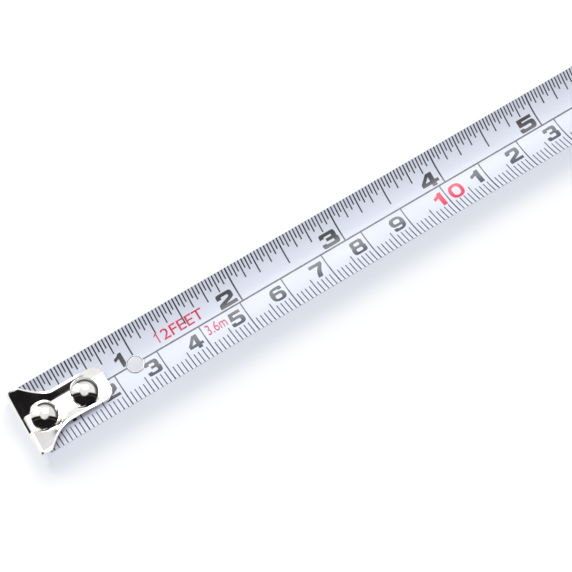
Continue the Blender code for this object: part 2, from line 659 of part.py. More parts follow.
def rivet(name, x, material, blade_zero):
    """A dome-headed rivet through the hook's slot and the blade, clenched underneath."""
    under_head = HOOK_FLAT_TOP + SEAT
    tail_top = -BLADE_THICKNESS - SEAT
    profile = [(0, tail_top - RIVET_TAIL_H), (RIVET_TAIL_R * 0.85, tail_top - RIVET_TAIL_H),
               (RIVET_TAIL_R, tail_top), (RIVET_SHANK_R, tail_top), (RIVET_SHANK_R, under_head),
               (RIVET_HEAD_R * 0.96, under_head)]
    for degrees in (12, 32, 52, 72, 90):
        angle = math.radians(degrees)
        profile.append((RIVET_HEAD_R * math.cos(angle), under_head + RIVET_HEAD_H * math.sin(angle)))
    profile[-1] = (0, under_head + RIVET_HEAD_H)
    return piece(name, lathe(bmesh.new(), profile), material, blade_zero, (x, 0, 0))


# ---- lock --------------------------------------------------------------------------
def lock_button(material, lock_rest):
    """The thumb button on the front, with its stem through the window."""
    back = CASE_FRONT - GAP
    front = back - LOCK_BUTTON_T
    half_h = LOCK_BUTTON_H / 2
    bm = bmesh.new()
    box(bm, (front, -LOCK_BUTTON_HALF, -half_h), (back, LOCK_BUTTON_HALF, half_h))
    faces = [face for face in bm.faces if face.calc_center_median().x < front + GAP]
    round_edges(bm, faces, LOCK_BUTTON_EDGE_R, 3)
    button = piece("lock_button", bm, material, lock_rest)
    grooves = bmesh.new()
    for index in range(LOCK_GROOVES):
        z = (index - (LOCK_GROOVES - 1) / 2) * LOCK_GROOVE_PITCH
        box(grooves, (front - WALL, -LOCK_BUTTON_HALF * 0.7, z - LOCK_GROOVE_HALF),
            (front + LOCK_GROOVE_DEPTH, LOCK_BUTTON_HALF * 0.7, z + LOCK_GROOVE_HALF))
    combine(button, grooves, "DIFFERENCE", lock_rest)
    stem = bmesh.new()
    box(stem, (back - GAP, -LOCK_STEM_HALF, -LOCK_STEM_H / 2),
        (CASE_FRONT + WALL, LOCK_STEM_HALF, LOCK_STEM_H / 2))
    return combine(button, stem, "UNION", lock_rest)


def lock_foot_low():
    """Height of the slider's foot above the base when locked."""
    return MOUTH_TOP + 2 * MOUTH_CLEARANCE + GAP


def lock_slider(material, lock_rest):
    """The plate behind the front wall that carries the brake pads down to the blade."""
    front = CASE_FRONT + WALL + GAP
    low = lock_foot_low() - LOCK_BUTTON_Z
    top = LOCK_STEM_H / 2 + LOCK_TRAVEL
    foot_half = lock_pad_outer()
    bm = box(bmesh.new(), (front, -LOCK_PLATE_HALF, low), (front + LOCK_PLATE_T, LOCK_PLATE_HALF, top))
    slider = piece("lock_slider", bm, material, lock_rest)
    foot = box(bmesh.new(), (front, -foot_half, low), (front + LOCK_FOOT_REACH, foot_half, low + LOCK_FOOT_T))
    return combine(slider, foot, "UNION", lock_rest)


def lock_pad_inner():
    """Nearest edge of a brake pad, clear of the hook's tail and the rivets."""
    return max(HOOK_WAIST_HALF, RIVET_HEAD_R) + 2 * GAP


def lock_pad_outer():
    """Far edge of a brake pad."""
    return lock_pad_inner() + BRAKE_PAD_WIDTH


def brake_pad(name, side, material, lock_rest):
    """A rubber pad under the slider's foot, cut to the blade's hollow."""
    back = CASE_FRONT + WALL + GAP + LOCK_FOOT_REACH
    top = lock_foot_low() - GAP
    near, far = lock_pad_inner(), lock_pad_outer()

    def blade_top(y):
        return BLADE_HEIGHT + BLADE_CURVE_R - math.sqrt(BLADE_CURVE_R ** 2 - y * y) + GAP

    section = [(near, blade_top(near)), ((near + far) / 2, blade_top((near + far) / 2)),
               (far, blade_top(far)), (far, top), (near, top)]
    bm = bmesh.new()
    rings = [[bm.verts.new((x, side * y, z - LOCK_BUTTON_Z)) for y, z in section]
             for x in (back - BRAKE_PAD_LENGTH, back)]
    return piece(name, capped(bm, rings), material, lock_rest)


# ---- the whole tape measure --------------------------------------------------------
def build():
    """Clear the scene and make every piece in its place."""
    for thing in list(bpy.data.objects):
        bpy.data.objects.remove(thing, do_unlink=True)

    graphite = paint("case_plastic", (0.16, 0.17, 0.19), 0.45)
    rubber = paint("soft_grip", (0.03, 0.03, 0.035), 0.8)
    label = paint("label_face", (0.72, 0.73, 0.75), 0.4)
    red = paint("button_plastic", (0.70, 0.06, 0.07), 0.4)
    white_blade = paint("blade_enamel", (0.72, 0.75, 0.86), 0.35)
    chrome = paint("hook_chrome", (0.80, 0.79, 0.77), 0.1, 1.0)
    steel = paint("plain_steel", (0.55, 0.56, 0.58), 0.3, 1.0)
    black_zinc = paint("screw_steel", (0.30, 0.31, 0.33), 0.4, 1.0)
    nylon = paint("reel_plastic", (0.75, 0.74, 0.70), 0.5)

    reel_axis = anchor("reel_axis", None, (0, 0, REEL_Z))
    blade_zero = anchor("blade_zero", None, (ZERO_X, 0, BLADE_HEIGHT))
    hook_zero = anchor("hook_zero", blade_zero)
    lock_rest = anchor("lock_rest", None, (0, 0, LOCK_BUTTON_Z))

    half_shell("case_left", -1, graphite)
    half_shell("case_right", 1, graphite)
    side_grip("grip_left", -1, rubber)
    side_grip("grip_right", 1, rubber)
    label_plate(label)
    front_bumper(rubber)
    blade_guide(steel)
    centre_post(steel, reel_axis)
    belt_clip(steel)
    clip_head_y = SHELL_HALF + SEAT + CLIP_T + SEAT
    screw("clip_screw", black_zinc, 0, CLIP_SCREW_Z, clip_head_y, SIDE_WALL + CLIP_T)
    names = ("case_screw_top_front", "case_screw_top_back", "case_screw_base_back")
    for name, centre in zip(names, boss_centres()):
        screw(name, black_zinc, centre.x, centre.z, SHELL_HALF - SCREW_HEAD_H, SCREW_LENGTH)

    reel_drum(nylon, reel_axis)
    reel_cover(nylon, reel_axis)
    power_spring(steel, reel_axis)
    blade_coil(white_blade, reel_axis)

    blade_strip(white_blade, blade_zero)
    end_hook(chrome, hook_zero)
    rivet("rivet_front", RIVET_FRONT_X, chrome, blade_zero)
    rivet("rivet_rear", RIVET_REAR_X, chrome, blade_zero)

    lock_button(red, lock_rest)
    lock_slider(nylon, lock_rest)
    brake_pad("brake_pad_left", -1, rubber, lock_rest)
    brake_pad("brake_pad_right", 1, rubber, lock_rest)


build()
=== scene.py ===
import math
import bpy
from mathutils import Matrix, Vector


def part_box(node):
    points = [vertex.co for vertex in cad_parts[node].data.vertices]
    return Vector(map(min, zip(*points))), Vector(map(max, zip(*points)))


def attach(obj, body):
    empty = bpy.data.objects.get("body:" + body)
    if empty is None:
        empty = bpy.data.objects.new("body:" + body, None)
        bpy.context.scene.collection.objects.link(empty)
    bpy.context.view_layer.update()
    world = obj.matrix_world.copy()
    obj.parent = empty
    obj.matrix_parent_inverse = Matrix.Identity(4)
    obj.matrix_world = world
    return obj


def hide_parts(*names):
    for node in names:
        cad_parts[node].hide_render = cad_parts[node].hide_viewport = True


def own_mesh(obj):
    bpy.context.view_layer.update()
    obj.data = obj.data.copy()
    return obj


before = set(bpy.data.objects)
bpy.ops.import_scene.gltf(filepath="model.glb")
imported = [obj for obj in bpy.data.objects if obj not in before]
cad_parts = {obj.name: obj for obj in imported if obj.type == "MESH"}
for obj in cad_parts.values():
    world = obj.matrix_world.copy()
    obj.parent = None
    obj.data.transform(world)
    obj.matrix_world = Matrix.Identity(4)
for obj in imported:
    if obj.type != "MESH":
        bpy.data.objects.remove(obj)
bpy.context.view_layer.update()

MM = 0.001


# ---- The table and the light ---------------------------------------------------------
# A plain white sheet under the tape, a white sky with one dark side so that the
# chrome has something to show, and a large soft lamp over the inch edge.
FLOOR_LIT = (0.60, 0.55, 0.40)     # the part of the floor's white that a shadow can take away
FLOOR_GLOW = (0.445, 0.495, 0.635)
SKY_LIGHT = (0.93, 0.96, 1.0)
SKY_STRENGTH = 0.60
DARK_SIDE = (-0.50, -0.85, 0.0)
WINDOW_SIDE = (-0.843, 0.535, 0.0)
ROOM_WHITE = (0.96, 0.96, 0.96)    # what polished metal shows of the room's bright side
ROOM_BROWN = (0.085, 0.058, 0.052)
ROOM_BLACK = (0.010, 0.009, 0.010)


def clear_selection():
    if bpy.context.mode != "OBJECT":
        bpy.ops.object.mode_set(mode="OBJECT")
    bpy.ops.object.select_all(action="DESELECT")


def new_material(name, colour=None, roughness=None, metallic=0.0):
    material = bpy.data.materials.new(name)
    material.use_nodes = True
    tree = material.node_tree
    surface = tree.nodes["Principled BSDF"]
    if colour is not None:
        surface.inputs["Base Color"].default_value = (*colour, 1)
    if roughness is not None:
        surface.inputs["Roughness"].default_value = roughness
    surface.inputs["Metallic"].default_value = metallic
    return material, tree, surface


def ramp_node(tree, value, low, high, smooth=True):
    node = tree.nodes.new("ShaderNodeMapRange")
    node.interpolation_type = "SMOOTHSTEP" if smooth else "LINEAR"
    node.inputs["From Min"].default_value = low
    node.inputs["From Max"].default_value = high
    tree.links.new(value, node.inputs["Value"])
    return node.outputs["Result"]


def math_node(tree, operation, first, second):
    node = tree.nodes.new("ShaderNodeMath")
    node.operation = operation
    for socket, value in zip(node.inputs, (first, second)):
        if isinstance(value, (int, float)):
            socket.default_value = value
        else:
            tree.links.new(value, socket)
    return node.outputs["Value"]


clear_selection()
bpy.ops.mesh.primitive_plane_add(size=6.0, location=(0, 0, 0))
table = bpy.context.object
table.name = "table_sheet"
paper, tree, surface = new_material("table_white", FLOOR_LIT, 0.9)
surface.inputs["Specular IOR Level"].default_value = 0.0
rays = tree.nodes.new("ShaderNodeLightPath")
seen = math_node(tree, "MAXIMUM", rays.outputs["Is Camera Ray"], rays.outputs["Is Glossy Ray"])
seen = math_node(tree, "MAXIMUM", seen, rays.outputs["Is Transmission Ray"])
glow = tree.nodes.new("ShaderNodeEmission")
glow.inputs["Color"].default_value = (*FLOOR_GLOW, 1)
tree.links.new(seen, glow.inputs["Strength"])
both = tree.nodes.new("ShaderNodeAddShader")
tree.links.new(surface.outputs["BSDF"], both.inputs[0])
tree.links.new(glow.outputs["Emission"], both.inputs[1])
tree.links.new(both.outputs["Shader"], tree.nodes["Material Output"].inputs["Surface"])
table.data.materials.append(paper)

scene = bpy.context.scene
scene.view_settings.view_transform = "Standard"
world = bpy.data.worlds.new("white_studio")
world.use_nodes = True
scene.world = world
tree = world.node_tree
sky = tree.nodes["Background"]
sky.inputs["Color"].default_value = (*SKY_LIGHT, 1)
sky.inputs["Strength"].default_value = SKY_STRENGTH
place = tree.nodes.new("ShaderNodeTexCoord")
split = tree.nodes.new("ShaderNodeSeparateXYZ")
tree.links.new(place.outputs["Generated"], split.inputs["Vector"])
toward = tree.nodes.new("ShaderNodeVectorMath")
toward.operation = "DOT_PRODUCT"
toward.inputs[1].default_value = DARK_SIDE
tree.links.new(place.outputs["Generated"], toward.inputs[0])
dark_side = math_node(tree, "MULTIPLY", ramp_node(tree, toward.outputs["Value"], -0.02, 0.12),
                      ramp_node(tree, split.outputs["Z"], 0.945, 0.865))
deeper = math_node(tree, "MAXIMUM", ramp_node(tree, toward.outputs["Value"], 0.31, 0.27),
                   ramp_node(tree, toward.outputs["Value"], 0.36, 0.38))
horizon = ramp_node(tree, split.outputs["Z"], 0.50, 0.24)
open_side = tree.nodes.new("ShaderNodeVectorMath")
open_side.operation = "DOT_PRODUCT"
open_side.inputs[1].default_value = WINDOW_SIDE
tree.links.new(place.outputs["Generated"], open_side.inputs[0])
horizon = math_node(tree, "MULTIPLY", horizon, ramp_node(tree, open_side.outputs["Value"], 0.85, 0.60))
dark = math_node(tree, "MAXIMUM", dark_side, math_node(tree, "MULTIPLY", horizon, 0.9))
rays = tree.nodes.new("ShaderNodeLightPath")
night = tree.nodes.new("ShaderNodeMix")
night.data_type = "RGBA"
night.inputs["A"].default_value = (*ROOM_BROWN, 1)
night.inputs["B"].default_value = (*ROOM_BLACK, 1)
tree.links.new(deeper, night.inputs["Factor"])
seen_in_metal = tree.nodes.new("ShaderNodeMix")
seen_in_metal.data_type = "RGBA"
seen_in_metal.inputs["A"].default_value = (*ROOM_WHITE, 1)
tree.links.new(night.outputs["Result"], seen_in_metal.inputs["B"])
tree.links.new(dark, seen_in_metal.inputs["Factor"])
mirror = tree.nodes.new("ShaderNodeBackground")
tree.links.new(seen_in_metal.outputs["Result"], mirror.inputs["Color"])
open_view = tree.nodes.new("ShaderNodeBackground")
open_view.inputs["Color"].default_value = (1, 1, 1, 1)
first = tree.nodes.new("ShaderNodeMixShader")
tree.links.new(rays.outputs["Is Glossy Ray"], first.inputs["Fac"])
tree.links.new(sky.outputs["Background"], first.inputs[1])
tree.links.new(mirror.outputs["Background"], first.inputs[2])
second = tree.nodes.new("ShaderNodeMixShader")
clear_ray = math_node(tree, "MAXIMUM", rays.outputs["Is Camera Ray"], rays.outputs["Is Transmission Ray"])
tree.links.new(clear_ray, second.inputs["Fac"])
tree.links.new(first.outputs["Shader"], second.inputs[1])
tree.links.new(open_view.outputs["Background"], second.inputs[2])
tree.links.new(second.outputs["Shader"], tree.nodes["World Output"].inputs["Surface"])


def soft_lamp(name, place, aim, size, power, colour=(1, 1, 1)):
    lamp = bpy.data.lights.new(name, "AREA")
    lamp.shape = "SQUARE"
    lamp.size = size
    lamp.energy = power
    lamp.color = colour
    holder = bpy.data.objects.new(name, lamp)
    scene.collection.objects.link(holder)
    holder.location = place
    holder.rotation_euler = (Vector(aim) - Vector(place)).to_track_quat("-Z", "Y").to_euler()


soft_lamp("overhead_box", (0.10, 0.34, 0.82), (-0.10, 0, 0), 0.50, 3.6)
soft_lamp("window", (-0.55, 0.80, 0.60), (-0.12, 0, 0), 0.8, 2.9, (1.0, 0.985, 0.96))

CAMERA_PLACE = (-0.212147, -0.088632, 0.348087)
CAMERA_RIGHT = (0.84346, -0.53490, 0.04966)
CAMERA_UP = (0.49524, 0.81006, 0.31391)
lens = bpy.data.cameras.new("camera")
lens.lens = 109.37
lens.sensor_width = 36.0
lens.clip_start = 0.01
camera = bpy.data.objects.new("camera", lens)
scene.collection.objects.link(camera)
back = Vector(CAMERA_RIGHT).cross(Vector(CAMERA_UP))
turn = Matrix((CAMERA_RIGHT, CAMERA_UP, back)).transposed()
camera.matrix_world = Matrix.Translation(CAMERA_PLACE) @ turn.to_4x4()
scene.camera = camera


# ---- The blade -----------------------------------------------------------------------
# A strip of spring steel rolled hollow and coated in white enamel, punched with one
# hanging hole. The part near the hook is rigid here. The rest winds into the case.
BLADE_WIDTH = 16.0 * MM
BLADE_THICKNESS = 0.15 * MM
HOLLOW_R = 13.8 * MM
BLADE_HEIGHT = 5.6 * MM
HOOK_SHEET = 0.95 * MM
PLAY = 0.95 * MM
BLADE_START = PLAY + 0.12 * MM
TIP_END = 27.35 * MM                # between two marks of each scale
HOLE_X = 24.9 * MM
HOLE_R = 1.75 * MM
RIVET_XS = (3.8 * MM, 13.05 * MM)
SHANK_R = 1.2 * MM
ZERO_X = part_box("end_hook")[0].x + HOOK_SHEET
BLADE_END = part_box("blade_strip")[1].x - ZERO_X
HOLLOW_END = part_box("case_left")[0].x + 2.0 * MM - ZERO_X
ENAMEL = (0.765, 0.79, 0.885)


def blade_point(x, across, height):
    """A place on the blade: along it, across it round the curve, and above its printed face."""
    share = min(max((x - HOLLOW_END) / (BLADE_END - HOLLOW_END), 0), 1)
    flat = share * share * (3 - 2 * share)
    radius = HOLLOW_R / max(1 - flat, 0.01)
    angle = across / radius
    return (ZERO_X + x, (radius - height) * math.sin(angle),
            BLADE_HEIGHT + radius - (radius - height) * math.cos(angle) + flat * 1.4 * MM)


def roll_onto_blade(sheet, height):
    """Turns a flat drawing, x along and y across, into its place on the hollow face."""
    for vert in sheet.data.vertices:
        vert.co = blade_point(vert.co.x, vert.co.y, height)
    sheet.data.update()


def edit(piece):
    clear_selection()
    piece.select_set(True)
    bpy.context.view_layer.objects.active = piece
    bpy.ops.object.mode_set(mode="EDIT")
    bpy.ops.mesh.select_all(action="SELECT")


def done():
    bpy.ops.object.mode_set(mode="OBJECT")


def apply_all(piece):
    clear_selection()
    piece.select_set(True)
    bpy.context.view_layer.objects.active = piece
    for modifier in list(piece.modifiers):
        bpy.ops.object.modifier_apply(modifier=modifier.name)


def cut_with(piece, cutter, operation="DIFFERENCE"):
    """Cuts one solid with another and takes the cutter away."""
    modifier = piece.modifiers.new("cut", "BOOLEAN")
    modifier.operation = operation
    modifier.solver = "EXACT"
    modifier.object = cutter
    apply_all(piece)
    bpy.data.objects.remove(cutter, do_unlink=True)


def settle(piece, name, body, material, nodes=()):
    """Names a finished piece, gives it its finish, and hangs it on its body."""
    clear_selection()
    piece.select_set(True)
    bpy.context.view_layer.objects.active = piece
    bpy.ops.object.transform_apply(location=True, rotation=True, scale=True)
    piece.name = name
    piece.data.name = name
    piece.data.materials.clear()
    piece.data.materials.append(material)
    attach(piece, body)
    if nodes:
        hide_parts(*nodes)


def smooth(piece, degrees=35):
    clear_selection()
    piece.select_set(True)
    bpy.context.view_layer.objects.active = piece
    bpy.ops.object.shade_smooth_by_angle(angle=math.radians(degrees))


def strip_between(start, end, cuts, width=BLADE_WIDTH, top=0.0, thickness=BLADE_THICKNESS):
    """A flat band, cut finely across, then rolled to the blade's hollow and given its steel."""
    clear_selection()
    bpy.ops.mesh.primitive_grid_add(x_subdivisions=cuts, y_subdivisions=40, size=1, location=(0, 0, 0))
    band = bpy.context.object
    for vert in band.data.vertices:
        vert.co.x = start + (vert.co.x + 0.5) * (end - start)
        vert.co.y *= width
    roll_onto_blade(band, top)
    steel = band.modifiers.new("steel", "SOLIDIFY")
    steel.thickness = thickness
    steel.offset = -1
    apply_all(band)
    return band


def punch(piece, x, radius, sides):
    clear_selection()
    bpy.ops.mesh.primitive_cylinder_add(vertices=sides, radius=radius, depth=8 * MM,
                                        location=(ZERO_X + x, 0, BLADE_HEIGHT))
    cut_with(piece, bpy.context.object)


def speckle_group():
    """Fine uneven spray: a height for a bump, and a slow mask for tone and shine."""
    group = bpy.data.node_groups.new("coat_unevenness", "ShaderNodeTree")
    group.interface.new_socket("Fine Scale", in_out="INPUT", socket_type="NodeSocketFloat")
    group.interface.new_socket("Slow Scale", in_out="INPUT", socket_type="NodeSocketFloat")
    group.interface.new_socket("Height", in_out="OUTPUT", socket_type="NodeSocketFloat")
    group.interface.new_socket("Mask", in_out="OUTPUT", socket_type="NodeSocketFloat")
    inside = group.nodes.new("NodeGroupInput")
    outside = group.nodes.new("NodeGroupOutput")
    place = group.nodes.new("ShaderNodeTexCoord")
    for scale, detail, low, high, target in (("Fine Scale", 3, 0.2, 0.8, "Height"),
                                             ("Slow Scale", 4, 0.35, 0.65, "Mask")):
        noise = group.nodes.new("ShaderNodeTexNoise")
        noise.inputs["Detail"].default_value = detail
        group.links.new(place.outputs["Object"], noise.inputs["Vector"])
        group.links.new(inside.outputs[scale], noise.inputs["Scale"])
        group.links.new(ramp_node(group, noise.outputs["Fac"], low, high), outside.inputs[target])
    return group


def scratch_group():
    """Hairlines drawn out along one direction, as a height and a mask."""
    group = bpy.data.node_groups.new("hairlines", "ShaderNodeTree")
    stretch = group.interface.new_socket("Stretch", in_out="INPUT", socket_type="NodeSocketVector")
    stretch.default_value = (60, 4000, 4000)
    group.interface.new_socket("Height", in_out="OUTPUT", socket_type="NodeSocketFloat")
    group.interface.new_socket("Mask", in_out="OUTPUT", socket_type="NodeSocketFloat")
    inside = group.nodes.new("NodeGroupInput")
    outside = group.nodes.new("NodeGroupOutput")
    place = group.nodes.new("ShaderNodeTexCoord")
    mapping = group.nodes.new("ShaderNodeMapping")
    group.links.new(place.outputs["Object"], mapping.inputs["Vector"])
    group.links.new(inside.outputs["Stretch"], mapping.inputs["Scale"])
    noise = group.nodes.new("ShaderNodeTexNoise")
    noise.inputs["Scale"].default_value = 1.0
    noise.inputs["Detail"].default_value = 3
    group.links.new(mapping.outputs["Vector"], noise.inputs["Vector"])
    group.links.new(noise.outputs["Fac"], outside.inputs["Height"])
    group.links.new(ramp_node(group, noise.outputs["Fac"], 0.5, 0.72), outside.inputs["Mask"])
    return group


UNEVEN = speckle_group()
HAIRLINES = scratch_group()


def place_group(tree, group, **values):
    node = tree.nodes.new("ShaderNodeGroup")
    node.node_tree = group
    for name, value in values.items():
        node.inputs[name.replace("_", " ")].default_value = value
    return node


def two_tones(tree, surface, mask, first, second):
    mix = tree.nodes.new("ShaderNodeMix")
    mix.data_type = "RGBA"
    mix.inputs["A"].default_value = (*first, 1)
    mix.inputs["B"].default_value = (*second, 1)
    tree.links.new(mask, mix.inputs["Factor"])
    tree.links.new(mix.outputs["Result"], surface.inputs["Base Color"])
    return mix


def uneven_shine(tree, surface, mask, low, high):
    node = tree.nodes.new("ShaderNodeMapRange")
    node.inputs["To Min"].default_value = low
    node.inputs["To Max"].default_value = high
    tree.links.new(mask, node.inputs["Value"])
    tree.links.new(node.outputs["Result"], surface.inputs["Roughness"])


def bump(tree, surface, height, depth, strength=1.0):
    node = tree.nodes.new("ShaderNodeBump")
    node.inputs["Distance"].default_value = depth
    node.inputs["Strength"].default_value = strength
    tree.links.new(height, node.inputs["Height"])
    tree.links.new(node.outputs["Normal"], surface.inputs["Normal"])


enamel, tree, surface = new_material("white_enamel")
coat = place_group(tree, UNEVEN, Fine_Scale=1400.0, Slow_Scale=90.0)
two_tones(tree, surface, coat.outputs["Mask"], ENAMEL, tuple(c * 0.985 for c in ENAMEL))
uneven_shine(tree, surface, coat.outputs["Mask"], 0.30, 0.38)
bump(tree, surface, coat.outputs["Height"], 0.004 * MM, 0.5)
surface.inputs["Specular IOR Level"].default_value = 0.3
surface.inputs["Coat Weight"].default_value = 0.22
surface.inputs["Coat Roughness"].default_value = 0.20

tip = strip_between(BLADE_START, TIP_END, 30)
punch(tip, HOLE_X, HOLE_R, 48)
for x in RIVET_XS:
    punch(tip, x, SHANK_R + 0.12 * MM, 24)
smooth(tip, 40)
settle(tip, "blade_tip", "blade", enamel, ["blade_strip"])
clear_selection()
bpy.ops.mesh.primitive_torus_add(major_segments=64, minor_segments=16, major_radius=HOLE_R + 0.03 * MM,
                                 minor_radius=0.17 * MM, location=(0, 0, 0))
burr = bpy.context.object
for vert in burr.data.vertices:
    vert.co.x += HOLE_X
    vert.co.z *= 1.3
    vert.co = blade_point(vert.co.x, vert.co.y, vert.co.z + 0.03 * MM)
bare_steel, tree, surface = new_material("bare_steel", (0.55, 0.55, 0.56), 0.16, 1.0)
lines = place_group(tree, HAIRLINES, Stretch=(900, 900, 6000))
two_tones(tree, surface, lines.outputs["Mask"], (0.58, 0.58, 0.59), (0.46, 0.46, 0.47))
uneven_shine(tree, surface, lines.outputs["Mask"], 0.12, 0.24)
smooth(burr, 60)
settle(burr, "hanging_hole_rim", "blade", bare_steel)
run = strip_between(TIP_END, BLADE_END, 80)
smooth(run, 40)
settle(run, "blade_run", "blade", enamel, ["blade_strip"])


def wind_in(piece):
    """Gives the piece its own copy of its mesh."""
    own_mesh(piece)


wind_in(run)


# ---- The print on the blade ----------------------------------------------------------
# Silk-screened scales: inches in thirty-seconds along one edge, millimetres along the
# other, a line between them, bold figures, and the length given in red near the hole.
INCH = 25.4 * MM
CENTRE = 0.10 * MM
PRINT_END = 168.9 * MM
INK_T = 0.014 * MM
INK_UP = 0.005 * MM
EDGE = BLADE_WIDTH / 2
INK_STEP = 0.5 * MM


def mark(x, width, near, far, step=0, count=1, step_two=0, count_two=1):
    """One printed bar, repeated along the blade, from the edge towards the middle."""
    clear_selection()
    bpy.ops.mesh.primitive_plane_add(size=1, location=(0, 0, 0))
    bar = bpy.context.object
    for vert in bar.data.vertices:
        vert.co.x = x + vert.co.x * width
        vert.co.y = near + (vert.co.y + 0.5) * (far - near)
    for gap, times in ((step, count), (step_two, count_two)):
        if times > 1:
            row = bar.modifiers.new("row", "ARRAY")
            row.use_relative_offset = False
            row.use_constant_offset = True
            row.constant_offset_displace = (gap, 0, 0)
            row.count = times
    apply_all(bar)
    return bar


def glyph(text, left, right, low, high, weight, spacing=1.0):
    """Figures drawn flat and stretched to the width and height that the print gives them."""
    clear_selection()
    bpy.ops.object.text_add(location=(0, 0, 0))
    letters = bpy.context.object
    letters.data.body = text
    letters.data.size = 1
    letters.data.offset = weight
    letters.data.space_character = spacing
    letters.data.resolution_u = 5
    bpy.ops.object.convert(target="MESH")
    letters = bpy.context.object
    xs = [vert.co.x for vert in letters.data.vertices]
    ys = [vert.co.y for vert in letters.data.vertices]
    for vert in letters.data.vertices:
        vert.co.x = left + (vert.co.x - min(xs)) / (max(xs) - min(xs)) * (right - left)
        vert.co.y = low + (vert.co.y - min(ys)) / (max(ys) - min(ys)) * (high - low)
        vert.co.z = 0
    return letters


def figure_one(left, right, low, high):
    """A plain heavy 1: a stem with a thick flag and no foot."""
    clear_selection()
    wide, tall = right - left, high - low
    outline = ((0.50, 0), (1, 0), (1, 1), (0.62, 1), (0.46, 0.87), (0.0, 0.76), (0.0, 0.54), (0.50, 0.66))
    mesh = bpy.data.meshes.new("one")
    mesh.from_pydata([(left + u * wide, low + v * tall, 0) for u, v in outline], [],
                     [tuple(range(len(outline)))])
    one = bpy.data.objects.new("one", mesh)
    scene.collection.objects.link(one)
    return one


def thin_one(left, right, low, high, stroke):
    """A light 1 with a short flag, for the length in feet."""
    tall = high - low
    outline = ((right - stroke, low), (right, low), (right, high), (right - stroke * 0.8, high),
               (left, high - tall * 0.24), (left, high - tall * 0.24 - stroke * 0.9),
               (right - stroke, high - tall * 0.17))
    mesh = bpy.data.meshes.new("one")
    mesh.from_pydata([(x, y, 0) for x, y in outline], [], [tuple(range(len(outline)))])
    one = bpy.data.objects.new("one", mesh)
    scene.collection.objects.link(one)
    return one


# Extended block figures for the inches, 4 mm by 3.05 mm: corners as (x, y, radius).
BLOCK_SIZE = (4.0, 3.05)
BLOCK_FIGURES = {
    "2": [[(0, 0, 0), (4, 0, 0), (4, 0.72, 0), (1.5, 0.72, 0.1), (3.1, 1.24, 0.5),
           (3.72, 1.55, 0.5), (3.72, 3.05, 0.95), (0.12, 3.05, 0.95), (0.12, 1.92, 0),
           (1.1, 1.92, 0), (1.1, 2.35, 0.25), (2.74, 2.35, 0.25), (2.74, 1.86, 0.3), (0, 0.98, 0.5)]],
    "3": [[(0, 0, 0.75), (4, 0, 0.85), (4, 1.45, 0.3), (3.7, 1.6, 0), (3.82, 1.78, 0.1),
           (3.82, 3.05, 0.85), (0.12, 3.05, 0.8), (0.12, 2.08, 0), (1.1, 2.08, 0),
           (1.1, 2.36, 0.15), (2.82, 2.36, 0.2), (2.82, 1.92, 0.2), (1.35, 1.92, 0),
           (1.35, 1.26, 0), (2.95, 1.26, 0.2), (2.95, 0.72, 0.2), (1.0, 0.72, 0.15),
           (1.0, 0.97, 0), (0, 0.97, 0)]],
    "4": [[(2.1, 0, 0), (3.2, 0, 0), (3.2, 0.58, 0), (4, 0.58, 0), (4, 1.28, 0), (3.2, 1.28, 0),
           (3.2, 3.05, 0), (1.85, 3.05, 0), (0, 1.35, 0.15), (0, 0.58, 0), (2.1, 0.58, 0)],
          [(0.98, 1.28, 0), (2.1, 2.3, 0), (2.1, 1.28, 0)]],
    "5": [[(0, 0, 0.75), (4, 0, 0.85), (4, 2.04, 0.8), (1.2, 2.04, 0), (1.2, 2.36, 0),
           (3.72, 2.36, 0), (3.72, 3.05, 0), (0.2, 3.05, 0), (0.2, 1.32, 0), (2.95, 1.32, 0.2),
           (2.95, 0.7, 0.2), (1.0, 0.7, 0.15), (1.0, 0.95, 0), (0, 0.95, 0)]],
    "6": [[(0, 0, 0.85), (4, 0, 0.85), (4, 1.98, 0.8), (1.05, 1.98, 0), (1.05, 2.36, 0.2),
           (2.85, 2.36, 0.15), (2.85, 2.15, 0), (3.85, 2.15, 0), (3.85, 3.05, 0.75),
           (0, 3.05, 0.85)],
          [(1.05, 0.7, 0.2), (1.05, 1.28, 0.2), (2.95, 1.28, 0.2), (2.95, 0.7, 0.2)]],
}
